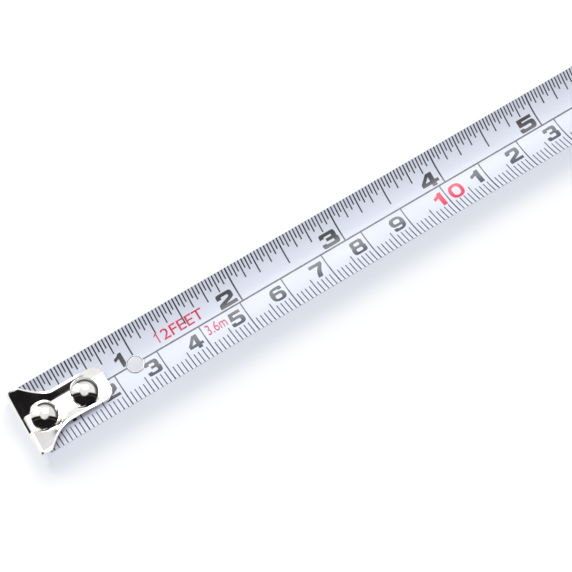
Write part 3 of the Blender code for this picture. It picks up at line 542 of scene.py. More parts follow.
# Rounder figures for the centimetres, 3.3 mm by 3.25 mm.
ROUND_SIZE = (3.3, 3.25)
SIX = [[(0, 0, 1.7), (3.3, 0, 1.7), (3.3, 2.15, 1.1), (1.0, 2.15, 0.2), (1.0, 2.66, 0.5), (2.2, 2.66, 0.3),
        (2.3, 2.42, 0), (3.15, 2.42, 0), (3.1, 3.25, 0.9), (0, 3.25, 1.8)],
       [(0.9, 0.6, 0.6), (0.9, 1.56, 0.6), (2.4, 1.56, 0.6), (2.4, 0.6, 0.6)]]
ROUND_FIGURES = {
    "0": [[(0, 0, 2), (3.3, 0, 2), (3.3, 3.25, 2), (0, 3.25, 2)],
          [(0.82, 0.6, 1), (0.82, 2.65, 1), (2.48, 2.65, 1), (2.48, 0.6, 1)]],
    "2": [[(0, 0, 0), (3.3, 0, 0), (3.3, 0.7, 0), (1.3, 0.7, 0), (2.7, 1.35, 0.6), (3.2, 1.7, 0.5),
           (3.2, 3.25, 1.2), (0.1, 3.25, 1.2), (0.1, 2.15, 0), (1.05, 2.15, 0), (1.05, 2.62, 0.3),
           (2.25, 2.62, 0.3), (2.25, 1.95, 0.35), (0, 0.95, 0.6)]],
    "3": [[(0, 0, 1.1), (3.3, 0, 1.2), (3.3, 1.6, 0.5), (2.9, 1.72, 0.1), (3.15, 1.85, 0.3),
           (3.15, 3.25, 1.2), (0.1, 3.25, 1.1), (0.1, 2.3, 0), (1.0, 2.3, 0), (1.0, 2.65, 0.25),
           (2.25, 2.65, 0.3), (2.25, 1.98, 0.3), (1.2, 1.98, 0), (1.2, 1.42, 0),
           (2.35, 1.42, 0.35), (2.35, 0.62, 0.35), (0.95, 0.62, 0.25), (0.95, 0.98, 0),
           (0, 0.98, 0)]],
    "4": [[(1.75, 0, 0), (2.7, 0, 0), (2.7, 0.62, 0), (3.3, 0.62, 0), (3.3, 1.3, 0), (2.7, 1.3, 0),
           (2.7, 3.25, 0), (1.6, 3.25, 0), (0, 1.4, 0), (0, 0.62, 0), (1.75, 0.62, 0)],
          [(0.8, 1.3, 0), (1.75, 2.4, 0), (1.75, 1.3, 0)]],
    "5": [[(0, 0, 1.1), (3.3, 0, 1.3), (3.3, 2.1, 1.1), (1.1, 2.1, 0), (1.15, 2.55, 0),
           (3.05, 2.55, 0), (3.05, 3.25, 0), (0.4, 3.25, 0), (0.1, 1.45, 0), (2.35, 1.45, 0.4),
           (2.35, 0.65, 0.4), (0.95, 0.65, 0.2), (0.95, 0.95, 0), (0, 0.95, 0)]],
    "6": SIX,
    "7": [[(0.85, 0, 0), (1.95, 0, 0), (2.25, 1.35, 0.8), (3.2, 2.6, 0), (3.2, 3.25, 0),
           (0.1, 3.25, 0), (0.1, 2.55, 0), (2.15, 2.55, 0), (1.15, 1.35, 0.9)]],
    "8": [[(0, 0, 1.3), (3.3, 0, 1.3), (3.3, 1.62, 0.55), (3.0, 1.75, 0.2), (3.15, 1.9, 0.4),
           (3.15, 3.25, 1.2), (0.15, 3.25, 1.2), (0.15, 1.9, 0.4), (0.3, 1.75, 0.2),
           (0, 1.62, 0.55)],
          [(0.9, 0.56, 0.4), (0.9, 1.36, 0.4), (2.4, 1.36, 0.4), (2.4, 0.56, 0.4)],
          [(0.98, 1.98, 0.35), (0.98, 2.7, 0.35), (2.32, 2.7, 0.35), (2.32, 1.98, 0.35)]],
    "9": [[(3.3 - x, 3.25 - y, r) for x, y, r in outline] for outline in SIX],
}


def soft_corners(outline):
    """The outline with each corner that has a radius drawn as a short arc."""
    points = []
    for index, (x, y, radius) in enumerate(outline):
        here = Vector((x, y))
        before = Vector(outline[index - 1][:2])
        after = Vector(outline[(index + 1) % len(outline)][:2])
        reach = min(radius, 0.5 * (before - here).length, 0.5 * (after - here).length)
        if reach <= 0:
            points.append(here)
            continue
        start = here + (before - here).normalized() * reach
        end = here + (after - here).normalized() * reach
        for step in range(6):
            share = step / 5
            points.append(start * (1 - share) ** 2 + here * 2 * share * (1 - share) + end * share ** 2)
    return points


def block_figure(outlines, size, left, right, low, high):
    """One heavy figure, drawn as a filled flat curve and made a mesh."""
    clear_selection()
    shape = bpy.data.curves.new("figure", "CURVE")
    shape.dimensions = "2D"
    shape.fill_mode = "BOTH"
    for outline in outlines:
        points = soft_corners(outline)
        spline = shape.splines.new("POLY")
        spline.points.add(len(points) - 1)
        for point, place in zip(spline.points, points):
            point.co = (left + place.x / size[0] * (right - left),
                        low + place.y / size[1] * (high - low), 0, 1)
        spline.use_cyclic_u = True
    figure = bpy.data.objects.new("figure", shape)
    scene.collection.objects.link(figure)
    figure.select_set(True)
    bpy.context.view_layer.objects.active = figure
    bpy.ops.object.convert(target="MESH")
    return bpy.context.object


def print_layer(name, drawings, ink, runs):
    """Joins flat drawings into one film of ink, rolls it onto the blade and thickens it."""
    clear_selection()
    for drawing in drawings:
        drawing.select_set(True)
    bpy.context.view_layer.objects.active = drawings[0]
    if len(drawings) > 1:
        bpy.ops.object.join()
    film = bpy.context.view_layer.objects.active
    edit(film)
    bpy.ops.mesh.remove_doubles(threshold=0.002 * MM)
    level = -EDGE + INK_STEP
    while level < EDGE:
        bpy.ops.mesh.select_all(action="SELECT")
        bpy.ops.mesh.bisect(plane_co=(0, level, 0), plane_no=(0, 1, 0))
        level += INK_STEP
    done()
    up = sum(face.normal.z for face in film.data.polygons)
    if up < 0:
        film.data.flip_normals()
    roll_onto_blade(film, INK_UP + INK_T)
    body = film.modifiers.new("ink", "SOLIDIFY")
    body.thickness = INK_T
    body.offset = -1
    apply_all(film)
    settle(film, name, "blade", ink, ["blade_strip"])
    if runs:
        wind_in(film)


def ink_material(name, colour, second, gloss):
    ink, tree, surface = new_material(name)
    film = place_group(tree, UNEVEN, Fine_Scale=2600.0, Slow_Scale=420.0)
    two_tones(tree, surface, film.outputs["Mask"], colour, second)
    uneven_shine(tree, surface, film.outputs["Mask"], 0.32, 0.46)
    bump(tree, surface, film.outputs["Height"], 0.003 * MM, 0.4)
    surface.inputs["Coat Weight"].default_value = gloss
    surface.inputs["Coat Roughness"].default_value = 0.22
    return ink


black_ink = ink_material("ink_black", (0.018, 0.018, 0.024), (0.030, 0.030, 0.038), 0.9)
grey_ink = ink_material("ink_grey", (0.030, 0.034, 0.056), (0.042, 0.047, 0.078), 0.7)
red_ink = ink_material("ink_red", (0.86, 0.012, 0.070), (0.78, 0.020, 0.085), 0.35)
pale_red_ink = ink_material("ink_red_thin", (0.86, 0.11, 0.19), (0.80, 0.14, 0.22), 0.35)

# First mark, step and reach of each level of the inch scale, in fractions of an inch.
INCH_LEVELS = ((1 / 32, 1 / 16, 0.27 * MM, 5.81 * MM), (1 / 16, 1 / 8, 0.28 * MM, 5.03 * MM),
               (1 / 8, 1 / 4, 0.28 * MM, 4.06 * MM), (1 / 4, 1 / 2, 0.29 * MM, 3.40 * MM),
               (1 / 2, 1, 0.30 * MM, 1.95 * MM))


def scale_rows(first, step, width, near, far, start, end):
    """A row of like marks that falls between two places on the blade."""
    skip = max(math.ceil((start + width - first) / step), 0)
    x = first + skip * step
    count = math.floor((end - width - x) / step) + 1
    return [mark(x, width, near, far, step, count)] if count > 0 else []


for part, start, end in (("tip", BLADE_START, TIP_END), ("run", TIP_END, PRINT_END)):
    inch_marks, mm_marks = [], []
    for first, step, width, reach in INCH_LEVELS:
        inch_marks += scale_rows(first * INCH, step * INCH, width, EDGE, reach, start, end)
    if part == "run":
        inch_marks += scale_rows(INCH, INCH, 0.33 * MM, EDGE, CENTRE, start, end)
        for number in range(2, 7):
            right = number * INCH - 0.75 * MM
            inch_marks.append(block_figure(BLOCK_FIGURES[str(number)], BLOCK_SIZE, right - 4.1 * MM, right,
                                           0.56 * MM, 3.72 * MM))
    else:
        inch_marks.append(mark(INCH, 0.33 * MM, EDGE, 1.72 * MM))
        inch_marks.append(figure_one(21.55 * MM, 23.47 * MM, 0.65 * MM, 3.7 * MM))
    for first in (1, 2, 3, 4):
        mm_marks += scale_rows(first * MM, 5 * MM, 0.22 * MM, -EDGE, -4.76 * MM, start, end)
    mm_marks += scale_rows(5 * MM, 10 * MM, 0.23 * MM, -EDGE, -3.52 * MM, start, end)
    mm_marks += scale_rows(10 * MM, 10 * MM, 0.27 * MM, -EDGE, -0.02 * MM, start, end)
    if part == "run":
        mm_marks.append(mark((start + end) / 2, end - start, CENTRE - 0.17 * MM, CENTRE + 0.17 * MM))
        for number in list(range(3, 10)) + [11, 12, 13, 14, 15, 16]:
            right = number * 10 * MM - 0.85 * MM
            body = str(number % 10)
            if body == "1":
                mm_marks.append(figure_one(right - 2.4 * MM, right - 0.2 * MM, -4.25 * MM, -0.95 * MM))
            else:
                mm_marks.append(block_figure(ROUND_FIGURES[body], ROUND_SIZE, right - 3.15 * MM, right + 0.1 * MM,
                                             -4.22 * MM, -0.92 * MM))
    else:
        for left, right in ((start, HOLE_X - HOLE_R - 0.05 * MM), (HOLE_X + HOLE_R + 0.05 * MM, end)):
            mm_marks.append(mark((left + right) / 2, right - left, CENTRE - 0.17 * MM, CENTRE + 0.17 * MM))
        mm_marks.append(figure_one(7.3 * MM, 9.0 * MM, -4.1 * MM, -1.05 * MM))
        mm_marks.append(block_figure(ROUND_FIGURES["2"], ROUND_SIZE, 16.0 * MM, 19.25 * MM,
                                     -4.22 * MM, -0.92 * MM))
    print_layer("inch_scale_" + part, inch_marks, black_ink, part == "run")
    print_layer("millimetre_scale_" + part, mm_marks, grey_ink, part == "run")

ten = [figure_one(97.15 * MM, 99.25 * MM, -4.5 * MM, -1.15 * MM),
       block_figure(ROUND_FIGURES["0"], ROUND_SIZE, 100.75 * MM, 104.15 * MM, -4.6 * MM, -1.1 * MM),
       thin_one(30.95 * MM, 31.75 * MM, 1.2 * MM, 3.5 * MM, 0.27 * MM),
       glyph("2FEET", 32.6 * MM, 42.3 * MM, 1.2 * MM, 3.5 * MM, 0.004)]
print_layer("length_in_feet_and_ten", ten, red_ink, True)
print_layer("length_in_metres", [glyph("3.6m", 40.9 * MM, 45.5 * MM, -2.85 * MM, -0.5 * MM, 0.004)],
            pale_red_ink, True)


# ---- The end hook --------------------------------------------------------------------
# Pressed steel sheet, chromed: a waisted plate with a sunk channel for the rivets, flared
# at the front and folded down into the lip. It slides by its own thickness on slots.
FOLD_R = (0.95 * MM, 2.3 * MM)       # at the millimetre side and at the inch side
LIP_DROP = 5.2 * MM
LIP_CORNER = 0.8 * MM
LIP_HALF = 8.3 * MM
PLATE_UP = 0.15 * MM + HOOK_SHEET
HOOK_LENGTH = 18.1 * MM
FLARE = (1.7 * MM, 7.4 * MM)
FLARE_HALF = BLADE_WIDTH / 2 + 0.6 * MM
WAIST_HALF = 4.1 * MM
TAIL_R = 2.0 * MM
CHANNEL_HALF = 1.75 * MM
WALL_SLOPE = (0.43, 0.47)           # at the waist and at the flare
RIM = 0.42 * MM
CORNER_R = 0.4 * MM
HEAD_R = 2.9 * MM                    # of each rivet
DENT = 0.30 * MM                     # a shallow press mark inside the millimetre flare
UPPER_R = HOLLOW_R - PLATE_UP
CHANNEL_TOP = HOLLOW_R - UPPER_R * math.cos(2.9 * MM / HOLLOW_R)
EDGE_Y = UPPER_R * math.sin(FLARE_HALF / HOLLOW_R)


def hook_edge(x):
    """Half width of the plate, seen from above, at a distance from the scale's zero."""
    if x <= FLARE[0]:
        back = min(max((1.0 * MM - x) / (1.0 * MM + HOOK_SHEET), 0), 1)
        return EDGE_Y - CORNER_R * (1 - math.sqrt(1 - back * back))
    waist = UPPER_R * math.sin(WAIST_HALF / HOLLOW_R)
    if x <= FLARE[1]:
        share = (x - FLARE[0]) / (FLARE[1] - FLARE[0])
        return waist + (EDGE_Y - waist) * (1 - share) ** 1.55
    run = min(max((x - HOOK_LENGTH + TAIL_R) / TAIL_R, 0), 1)
    return waist - TAIL_R * (1 - math.sqrt(1 - run * run))


def curve_height(y):
    return HOLLOW_R - math.sqrt(UPPER_R ** 2 - y * y)


def hook_top(x, y, edge):
    """The plate's upper face: the channel's floor, its sloping wall, and a level rim."""
    run = max(min(abs(y), edge - RIM) - CHANNEL_HALF, 0)
    curve = max(curve_height(abs(y)) - curve_height(CHANNEL_HALF), 0)
    tail = min(max((15.8 * MM - x) / (4.0 * MM), 0), 1)
    tail = tail * tail * (3 - 2 * tail)
    dent = max(1 - abs(y + edge - 1.5 * MM) / (0.9 * MM), 0) * max(1 - abs(x - 5.2 * MM) / (2.6 * MM), 0)
    dent = DENT * dent * dent * (3 - 2 * dent)
    front = min(max((FLARE[1] - x) / (4.0 * MM), 0), 1)
    slope = WALL_SLOPE[0] + (WALL_SLOPE[1] - WALL_SLOPE[0]) * front * front * (3 - 2 * front)
    return BLADE_HEIGHT + CHANNEL_TOP + run * slope * tail + curve * (1 - tail) - dent


def hook_across(edge):
    """Places across the plate, closer together at the foot of the wall and at the rim."""
    shrink = min(1, edge / (4.0 * MM))
    places = [y * MM * shrink for y in (0, 0.6, 1.2, 1.5, 1.65, 1.75, 1.85, 2.0)]
    rim = RIM * shrink
    foot, top = places[-1], edge - rim
    places += [foot + (top - foot) * share for share in (0.3, 0.6, 0.85, 0.95, 1)]
    places += [top + rim * share for share in (0.12, 0.35, 0.7, 1)]
    return [-y for y in places[:0:-1]] + places


stations = [HOOK_LENGTH - TAIL_R + TAIL_R * math.sin(math.radians(a))
            for a in (90, 80, 70, 58, 45, 32, 18, 6)]
stations += [15.3 * MM, 14.2 * MM, 13 * MM, 12 * MM, 11 * MM, 10 * MM, 9 * MM, 8.2 * MM]
stations += [FLARE[0] + (FLARE[1] - FLARE[0]) * (1 - i / 16) for i in range(17)]
rows = [[(ZERO_X + x, y, hook_top(x, y, hook_edge(x))) for y in hook_across(hook_edge(x))] for x in stations]
across = hook_across(EDGE_Y)
for degrees in (0, 5, 10, 16, 22, 30, 38, 48, 60, 72, 82, 90):
    angle = math.radians(degrees)
    row = []
    for y in across:
        share = (y + EDGE_Y) / (2 * EDGE_Y)
        radius = FOLD_R[0] + (FOLD_R[1] - FOLD_R[0]) * share * share
        x = radius - HOOK_SHEET - radius * math.sin(angle)
        narrow = hook_edge(x) / EDGE_Y
        row.append((ZERO_X + x, y * narrow, hook_top(FLARE[0], y, EDGE_Y) - radius * (1 - math.cos(angle))))
    rows.append(row)
brow = rows[-1]
shoulder = rows[-1]
lip_low = BLADE_HEIGHT - LIP_DROP
for share in (0.25, 0.5, 0.75, 1.0):
    low = lip_low + LIP_CORNER
    spread = 1 + (LIP_HALF / shoulder[-1][1] - 1) * share
    rows.append([(x, y * spread, z + (low - z) * share) for x, y, z in shoulder])
lip_row = rows[-1]
for degrees in (25, 50, 70, 90):
    inset = 1 - LIP_CORNER * (1 - math.cos(math.radians(degrees))) / LIP_HALF
    rows.append([(x, y * inset, lip_low + LIP_CORNER * (1 - math.sin(math.radians(degrees))))
                 for x, y, z in lip_row])
wide = len(brow)
mesh = bpy.data.meshes.new("end_hook")
mesh.from_pydata([point for row in rows for point in row], [],
                 [(r * wide + c, r * wide + c + 1, (r + 1) * wide + c + 1, (r + 1) * wide + c)
                  for r in range(len(rows) - 1) for c in range(wide - 1)])
hook = bpy.data.objects.new("hook", mesh)
scene.collection.objects.link(hook)
if sum(face.normal.z for face in mesh.polygons) < 0:
    mesh.flip_normals()
sheet = hook.modifiers.new("sheet", "SOLIDIFY")
sheet.thickness = HOOK_SHEET
sheet.offset = -1
sheet.use_even_offset = True
edges = hook.modifiers.new("pressed_edges", "BEVEL")
edges.width = 0.32 * MM
edges.segments = 4
edges.limit_method = "ANGLE"
edges.angle_limit = math.radians(50)
apply_all(hook)
for x in RIVET_XS:
    clear_selection()
    bpy.ops.mesh.primitive_cylinder_add(vertices=32, radius=SHANK_R + 0.12 * MM, depth=12 * MM,
                                        location=(ZERO_X + x, 0, BLADE_HEIGHT))
    slot_cutter = bpy.context.object
    for vert in slot_cutter.data.vertices:
        if vert.co.x < -0.01 * MM:
            vert.co.x -= PLAY
    cut_with(hook, slot_cutter)

cut_with(hook, strip_between(0.05 * MM, 2.4 * MM, 4, BLADE_WIDTH + 0.3 * MM, 0.12 * MM, 0.45 * MM))

chrome, tree, surface = new_material("hook_chrome", metallic=1.0)
wear = place_group(tree, UNEVEN, Fine_Scale=900.0, Slow_Scale=260.0)
two_tones(tree, surface, wear.outputs["Mask"], (0.94, 0.93, 0.915), (0.87, 0.86, 0.845))
uneven_shine(tree, surface, wear.outputs["Mask"], 0.05, 0.13)
bump(tree, surface, wear.outputs["Height"], 0.006 * MM, 0.35)
smooth(hook, 40)
settle(hook, "hook_plate", "hook", chrome, ["end_hook"])


# ---- The rivets ----------------------------------------------------------------------
# Two nickel-plated dome rivets through the hook's slots, clenched under the blade.
HEAD_H = 1.65 * MM
CAP_H = 1.35 * MM                   # the round part, above a short upright rim
TAIL_HEAD_R = 2.0 * MM
TAIL_HEAD_H = 0.45 * MM


def turned(profile, centre, axis, steps):
    """Spins a profile once round an axis. Its ends lie on the axis or it closes on itself."""
    clear_selection()
    mesh = bpy.data.meshes.new("profile")
    mesh.from_pydata(profile, [(i, i + 1) for i in range(len(profile) - 1)], [])
    piece = bpy.data.objects.new("turned", mesh)
    scene.collection.objects.link(piece)
    edit(piece)
    bpy.ops.mesh.spin(steps=steps, angle=math.tau, center=centre, axis=axis)
    bpy.ops.mesh.select_all(action="SELECT")
    bpy.ops.mesh.remove_doubles(threshold=0.002 * MM)
    bpy.ops.mesh.normals_make_consistent(inside=False)
    done()
    return piece


nickel, tree, surface = new_material("rivet_nickel", (0.9, 0.89, 0.87), 0.05, 1.0)
wear = place_group(tree, UNEVEN, Fine_Scale=1100.0, Slow_Scale=380.0)
two_tones(tree, surface, wear.outputs["Mask"], (0.90, 0.885, 0.865), (0.80, 0.785, 0.76))
uneven_shine(tree, surface, wear.outputs["Mask"], 0.05, 0.12)
bump(tree, surface, wear.outputs["Height"], 0.008 * MM, 0.4)
for name, x in zip(("rivet_front", "rivet_rear"), RIVET_XS):
    seat = BLADE_HEIGHT + CHANNEL_TOP + 0.50 * MM
    under = BLADE_HEIGHT - BLADE_THICKNESS - 0.15 * MM
    profile = [(0, under - TAIL_HEAD_H), (TAIL_HEAD_R * 0.7, under - TAIL_HEAD_H),
               (TAIL_HEAD_R * 0.93, under - TAIL_HEAD_H * 0.75), (TAIL_HEAD_R, under - TAIL_HEAD_H * 0.35),
               (TAIL_HEAD_R * 0.96, under), (SHANK_R, under), (SHANK_R, seat), (HEAD_R * 0.94, seat),
               (HEAD_R * 0.99, seat + 0.06 * MM)]
    ball = (HEAD_R ** 2 + CAP_H ** 2) / (2 * CAP_H)
    for step in range(15):
        angle = math.asin(HEAD_R / ball) * (1 - step / 14)
        profile.append((ball * math.sin(angle), seat + HEAD_H - ball + ball * math.cos(angle)))
    rivet = turned([(ZERO_X + x + r, 0, z) for r, z in profile], (ZERO_X + x, 0, 0), (0, 0, 1), 56)
    smooth(rivet, 40)
    settle(rivet, name + "_dome", "blade", nickel, [name])


# ---- The case ------------------------------------------------------------------------
# Two moulded halves in grained graphite plastic, parted off the middle so that the deep
# half holds the reel. Three screws pull the right half onto bosses in the left one.
CASE_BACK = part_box("case_left")[1].x
CASE_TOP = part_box("case_left")[1].z
SHELL_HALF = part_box("case_right")[1].y
REEL_Z = (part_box("blade_coil")[0].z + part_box("blade_coil")[1].z) / 2
CASE_CORNERS = (3.0 * MM, 10.0 * MM, 20.0 * MM, 22.0 * MM)     # base front, base back, top front, top back
EDGE_ROUND = 2.5 * MM
WALL = 2.0 * MM
PARTING_Y = 3.0 * MM
GAP = 0.3 * MM
CAVITY_HALF = SHELL_HALF - WALL
BOSS_R = 2.6 * MM
SCREW_R = 1.0 * MM
SCREW_HEAD_R = 2.0 * MM
SCREW_HEAD_H = 1.1 * MM
SCREW_NODES = ("case_screw_top_front", "case_screw_top_back", "case_screw_base_back")
SCREW_PLACES = [(sum(corner.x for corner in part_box(node)) / 2, sum(corner.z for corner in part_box(node)) / 2)
                for node in SCREW_NODES]
MOUTH_HALF = 8.66 * MM
MOUTH_LOW, MOUTH_TOP = 3.85 * MM, 9.69 * MM
GUIDE_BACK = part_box("blade_guide")[1].x + GAP
WINDOW_LOW, WINDOW_TOP, WINDOW_HALF = 24.8 * MM, 33.9 * MM, 3.9 * MM
CLIP_SCREW_Z = (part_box("clip_screw")[0].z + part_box("clip_screw")[1].z) / 2


def choose(piece, wanted):
    """Selects the corners that pass a test, ready for an edit."""
    for part in (piece.data.polygons, piece.data.edges):
        for item in part:
            item.select = False
    for vert in piece.data.vertices:
        vert.select = wanted(vert.co)
    clear_selection()
    piece.select_set(True)
    bpy.context.view_layer.objects.active = piece
    bpy.ops.object.mode_set(mode="EDIT")
    bpy.ops.mesh.select_mode(type="VERT")


def round_rim(piece, wanted, radius, steps):
    """Rounds the edges that run between the chosen corners."""
    choose(piece, wanted)
    bpy.ops.mesh.bevel(offset=radius, segments=steps, profile=0.5, affect="EDGES")
    done()


def case_slab(inset, near, far, least=0.5 * MM, steps=14):
    """The case's outline seen from the side, shrunk by an inset, drawn out from near to far."""
    clear_selection()
    bpy.ops.mesh.primitive_plane_add(size=1, location=(0, 0, 0))
    slab = bpy.context.object
    places = [(x, z) for z in (inset, CASE_TOP - inset) for x in (inset - CASE_BACK, CASE_BACK - inset)]
    for vert, (x, z) in zip(slab.data.vertices, places):
        vert.co = (x, near, z)
    for (x, z), radius in zip(places, CASE_CORNERS):
        choose(slab, lambda co: abs(co.x - x) < 1e-6 and abs(co.z - z) < 1e-6)
        bpy.ops.mesh.bevel(offset=max(radius - inset, least), segments=steps, profile=0.5, affect="VERTICES")
        done()
    edit(slab)
    bpy.ops.mesh.extrude_region_move(TRANSFORM_OT_translate={"value": (0, far - near, 0)})
    bpy.ops.mesh.select_all(action="SELECT")
    bpy.ops.mesh.normals_make_consistent(inside=False)
    done()
    return slab


def block(low, high):
    """A square-cornered cutter or rib between two corners."""
    clear_selection()
    bpy.ops.mesh.primitive_cube_add(size=1, location=[(a + b) / 2 for a, b in zip(low, high)])
    made = bpy.context.object
    made.scale = [abs(b - a) for a, b in zip(low, high)]
    bpy.ops.object.transform_apply(location=True, rotation=False, scale=True)
    return made


def pin(radius, x, z, start, end, sides=40):
    """A round bar across the case, from one side place to another."""
    clear_selection()
    bpy.ops.mesh.primitive_cylinder_add(vertices=sides, radius=radius, depth=abs(end - start),
                                        location=(x, (start + end) / 2, z), rotation=(math.pi / 2, 0, 0))
    made = bpy.context.object
    bpy.ops.object.transform_apply(location=True, rotation=True, scale=False)
    return made


def moulded(name, first, second, low, high, grain, depth):
    """A moulded finish: a slow drift of tone, a fine grain and a slightly uneven shine."""
    material, tree, surface = new_material(name)
    skin = place_group(tree, UNEVEN, Fine_Scale=grain, Slow_Scale=70.0)
    two_tones(tree, surface, skin.outputs["Mask"], first, second)
    uneven_shine(tree, surface, skin.outputs["Mask"], low, high)
    bump(tree, surface, skin.outputs["Height"], depth, 0.6)
    return material


graphite = moulded("graphite_plastic", (0.070, 0.075, 0.085), (0.084, 0.089, 0.100),
                   0.40, 0.50, 2400.0, 0.03 * MM)
for name, side in (("case_left", -1), ("case_right", 1)):
    split = PARTING_Y + side * GAP / 2
    beyond = PARTING_Y - side * WALL
    inner = side * CAVITY_HALF
    outer = side * SHELL_HALF
    shell = case_slab(0, split, outer)
    round_rim(shell, lambda co: abs(co.y - outer) < 1e-6, EDGE_ROUND, 6)
    round_rim(shell, lambda co: abs(co.y - split) < 1e-6, 0.18 * MM, 1)
    cut_with(shell, case_slab(WALL, beyond, inner))
    for x, z in SCREW_PLACES:
        cut_with(shell, pin(BOSS_R, x, z, split, inner + side * 0.5 * MM), "UNION")
    cut_with(shell, block((WALL - CASE_BACK - 0.5 * MM, split, WALL - 0.5 * MM),
                          (GUIDE_BACK, inner + side * 0.5 * MM, MOUTH_LOW + 1.5 * MM)), "UNION")
    cut_with(shell, block((-CASE_BACK - WALL, beyond, MOUTH_LOW),
                          (GUIDE_BACK + WALL, side * MOUTH_HALF, MOUTH_TOP)))
    cut_with(shell, block((-CASE_BACK - WALL, beyond, WINDOW_LOW), (1.5 * WALL - CASE_BACK, side * WINDOW_HALF,
                                                                    WINDOW_TOP)))
    tongue = 1.95 * MM
    cut_with(shell, block((-tongue, side * (CAVITY_HALF - WALL), REEL_Z - tongue),
                          (tongue, side * (CAVITY_HALF + 1.4 * MM), REEL_Z + tongue)))
    seat = SHELL_HALF - SCREW_HEAD_H - GAP
    for x, z in SCREW_PLACES:
        bore_end = seat + GAP if side > 0 else seat - 16.3 * MM
        cut_with(shell, pin(SCREW_R + 0.12 * MM, x, z, beyond, bore_end))
        if side > 0:
            cut_with(shell, pin(SCREW_HEAD_R + GAP, x, z, seat - 0.1 * MM, outer + WALL))
    if side > 0:
        cut_with(shell, pin(SCREW_R + 0.12 * MM, 0, CLIP_SCREW_Z, CAVITY_HALF - WALL, outer + WALL))
    smooth(shell, 35)
    settle(shell, name + "_moulding", "case", graphite, [name])


# ---- Soft sides and bumper -----------------------------------------------------------
# Black rubber moulded over each side, ribbed for the fingers, and a frame round the
# mouth that takes the knock when the hook flies home. The left side holds a round plate.
GRIP_INSET = 4.0 * MM
GRIP_IN = SHELL_HALF + 0.15 * MM
GRIP_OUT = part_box("grip_right")[1].y
RIB_ROWS, RIB_PITCH = 8, 3.0 * MM
LABEL_R = 15.0 * MM
BAY = (9.5 * MM, 9.59 * MM, 49.59 * MM)
rubber = moulded("black_rubber", (0.020, 0.020, 0.022), (0.030, 0.030, 0.032), 0.55, 0.68, 1500.0, 0.06 * MM)
for name, side in (("grip_left", -1), ("grip_right", 1)):
    inner, outer = side * GRIP_IN, side * GRIP_OUT
    grip = case_slab(GRIP_INSET, inner, outer, 1.2 * MM)
    round_rim(grip, lambda co: abs(co.y - outer) < 1e-6, 0.84 * MM, 4)
    if side < 0:
        cut_with(grip, pin(LABEL_R + GAP, 0, REEL_Z, inner + WALL, outer - WALL, 96))
    else:
        cut_with(grip, block((-BAY[0], inner - WALL, BAY[1]), (BAY[0], outer + WALL, BAY[2])))
        for x, z in SCREW_PLACES:
            cut_with(grip, pin(SCREW_HEAD_R + 2 * GAP, x, z, inner - WALL, outer + WALL))
    for start, end in ((-24.0 * MM, -17.5 * MM), (17.5 * MM, 24.0 * MM)):
        rib = block((start, outer - side * 0.45 * MM, 15.5 * MM), (end, outer + side * WALL, 16.7 * MM))
        round_rim(rib, lambda co: abs(co.x - start) < 1e-6 or abs(co.x - end) < 1e-6, 0.5 * MM, 3)
        rows = rib.modifiers.new("rows", "ARRAY")
        rows.use_relative_offset = False
        rows.use_constant_offset = True
        rows.constant_offset_displace = (0, 0, RIB_PITCH)
        rows.count = RIB_ROWS
        apply_all(rib)
        cut_with(grip, rib)
    smooth(grip, 35)
    settle(grip, name + "_rubber", "case", rubber, [name])

low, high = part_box("front_bumper")
bumper = block(low, high)
round_rim(bumper, lambda co: abs(co.x - low.x) < 1e-6, 0.5 * MM, 4)
mouth = block((low.x - WALL, -MOUTH_HALF, MOUTH_LOW), (high.x + WALL, MOUTH_HALF, MOUTH_TOP))
cut_with(bumper, mouth)
smooth(bumper, 35)
settle(bumper, "mouth_bumper", "case", rubber, ["front_bumper"])

LABEL_T = 0.8 * MM
LABEL_RING = (11.6 * MM, 12.5 * MM)
plate_in = -GRIP_IN
profile = [(0, plate_in), (LABEL_R, plate_in), (LABEL_R, plate_in - LABEL_T + 0.15 * MM),
           (LABEL_R - 0.06 * MM, plate_in - LABEL_T + 0.04 * MM), (LABEL_R - 0.2 * MM, plate_in - LABEL_T),
           (LABEL_R - 0.9 * MM, plate_in - LABEL_T), (LABEL_R - 1.1 * MM, plate_in - LABEL_T + 0.25 * MM),
           (0, plate_in - LABEL_T + 0.25 * MM)]
label = turned([(r, y, REEL_Z) for r, y in profile], (0, 0, REEL_Z), (0, 1, 0), 96)
silver, tree, surface = new_material("satin_plate", metallic=0.85)
place = tree.nodes.new("ShaderNodeTexCoord")
away = tree.nodes.new("ShaderNodeVectorMath")
away.operation = "DISTANCE"
away.inputs[1].default_value = (0, plate_in - LABEL_T + 0.25 * MM, REEL_Z)
tree.links.new(place.outputs["Object"], away.inputs[0])
ring = math_node(tree, "SUBTRACT", ramp_node(tree, away.outputs["Value"], LABEL_RING[0], LABEL_RING[0] + 0.05 * MM),
                 ramp_node(tree, away.outputs["Value"], LABEL_RING[1], LABEL_RING[1] + 0.05 * MM))
lines = place_group(tree, HAIRLINES, Stretch=(150, 150, 5200))
two_tones(tree, surface, ring, (0.56, 0.57, 0.59), (0.045, 0.046, 0.05))
uneven_shine(tree, surface, lines.outputs["Mask"], 0.32, 0.44)
bump(tree, surface, lines.outputs["Height"], 0.01 * MM, 0.5)
smooth(label, 30)
settle(label, "label_plate", "case", silver, ["side_label"])


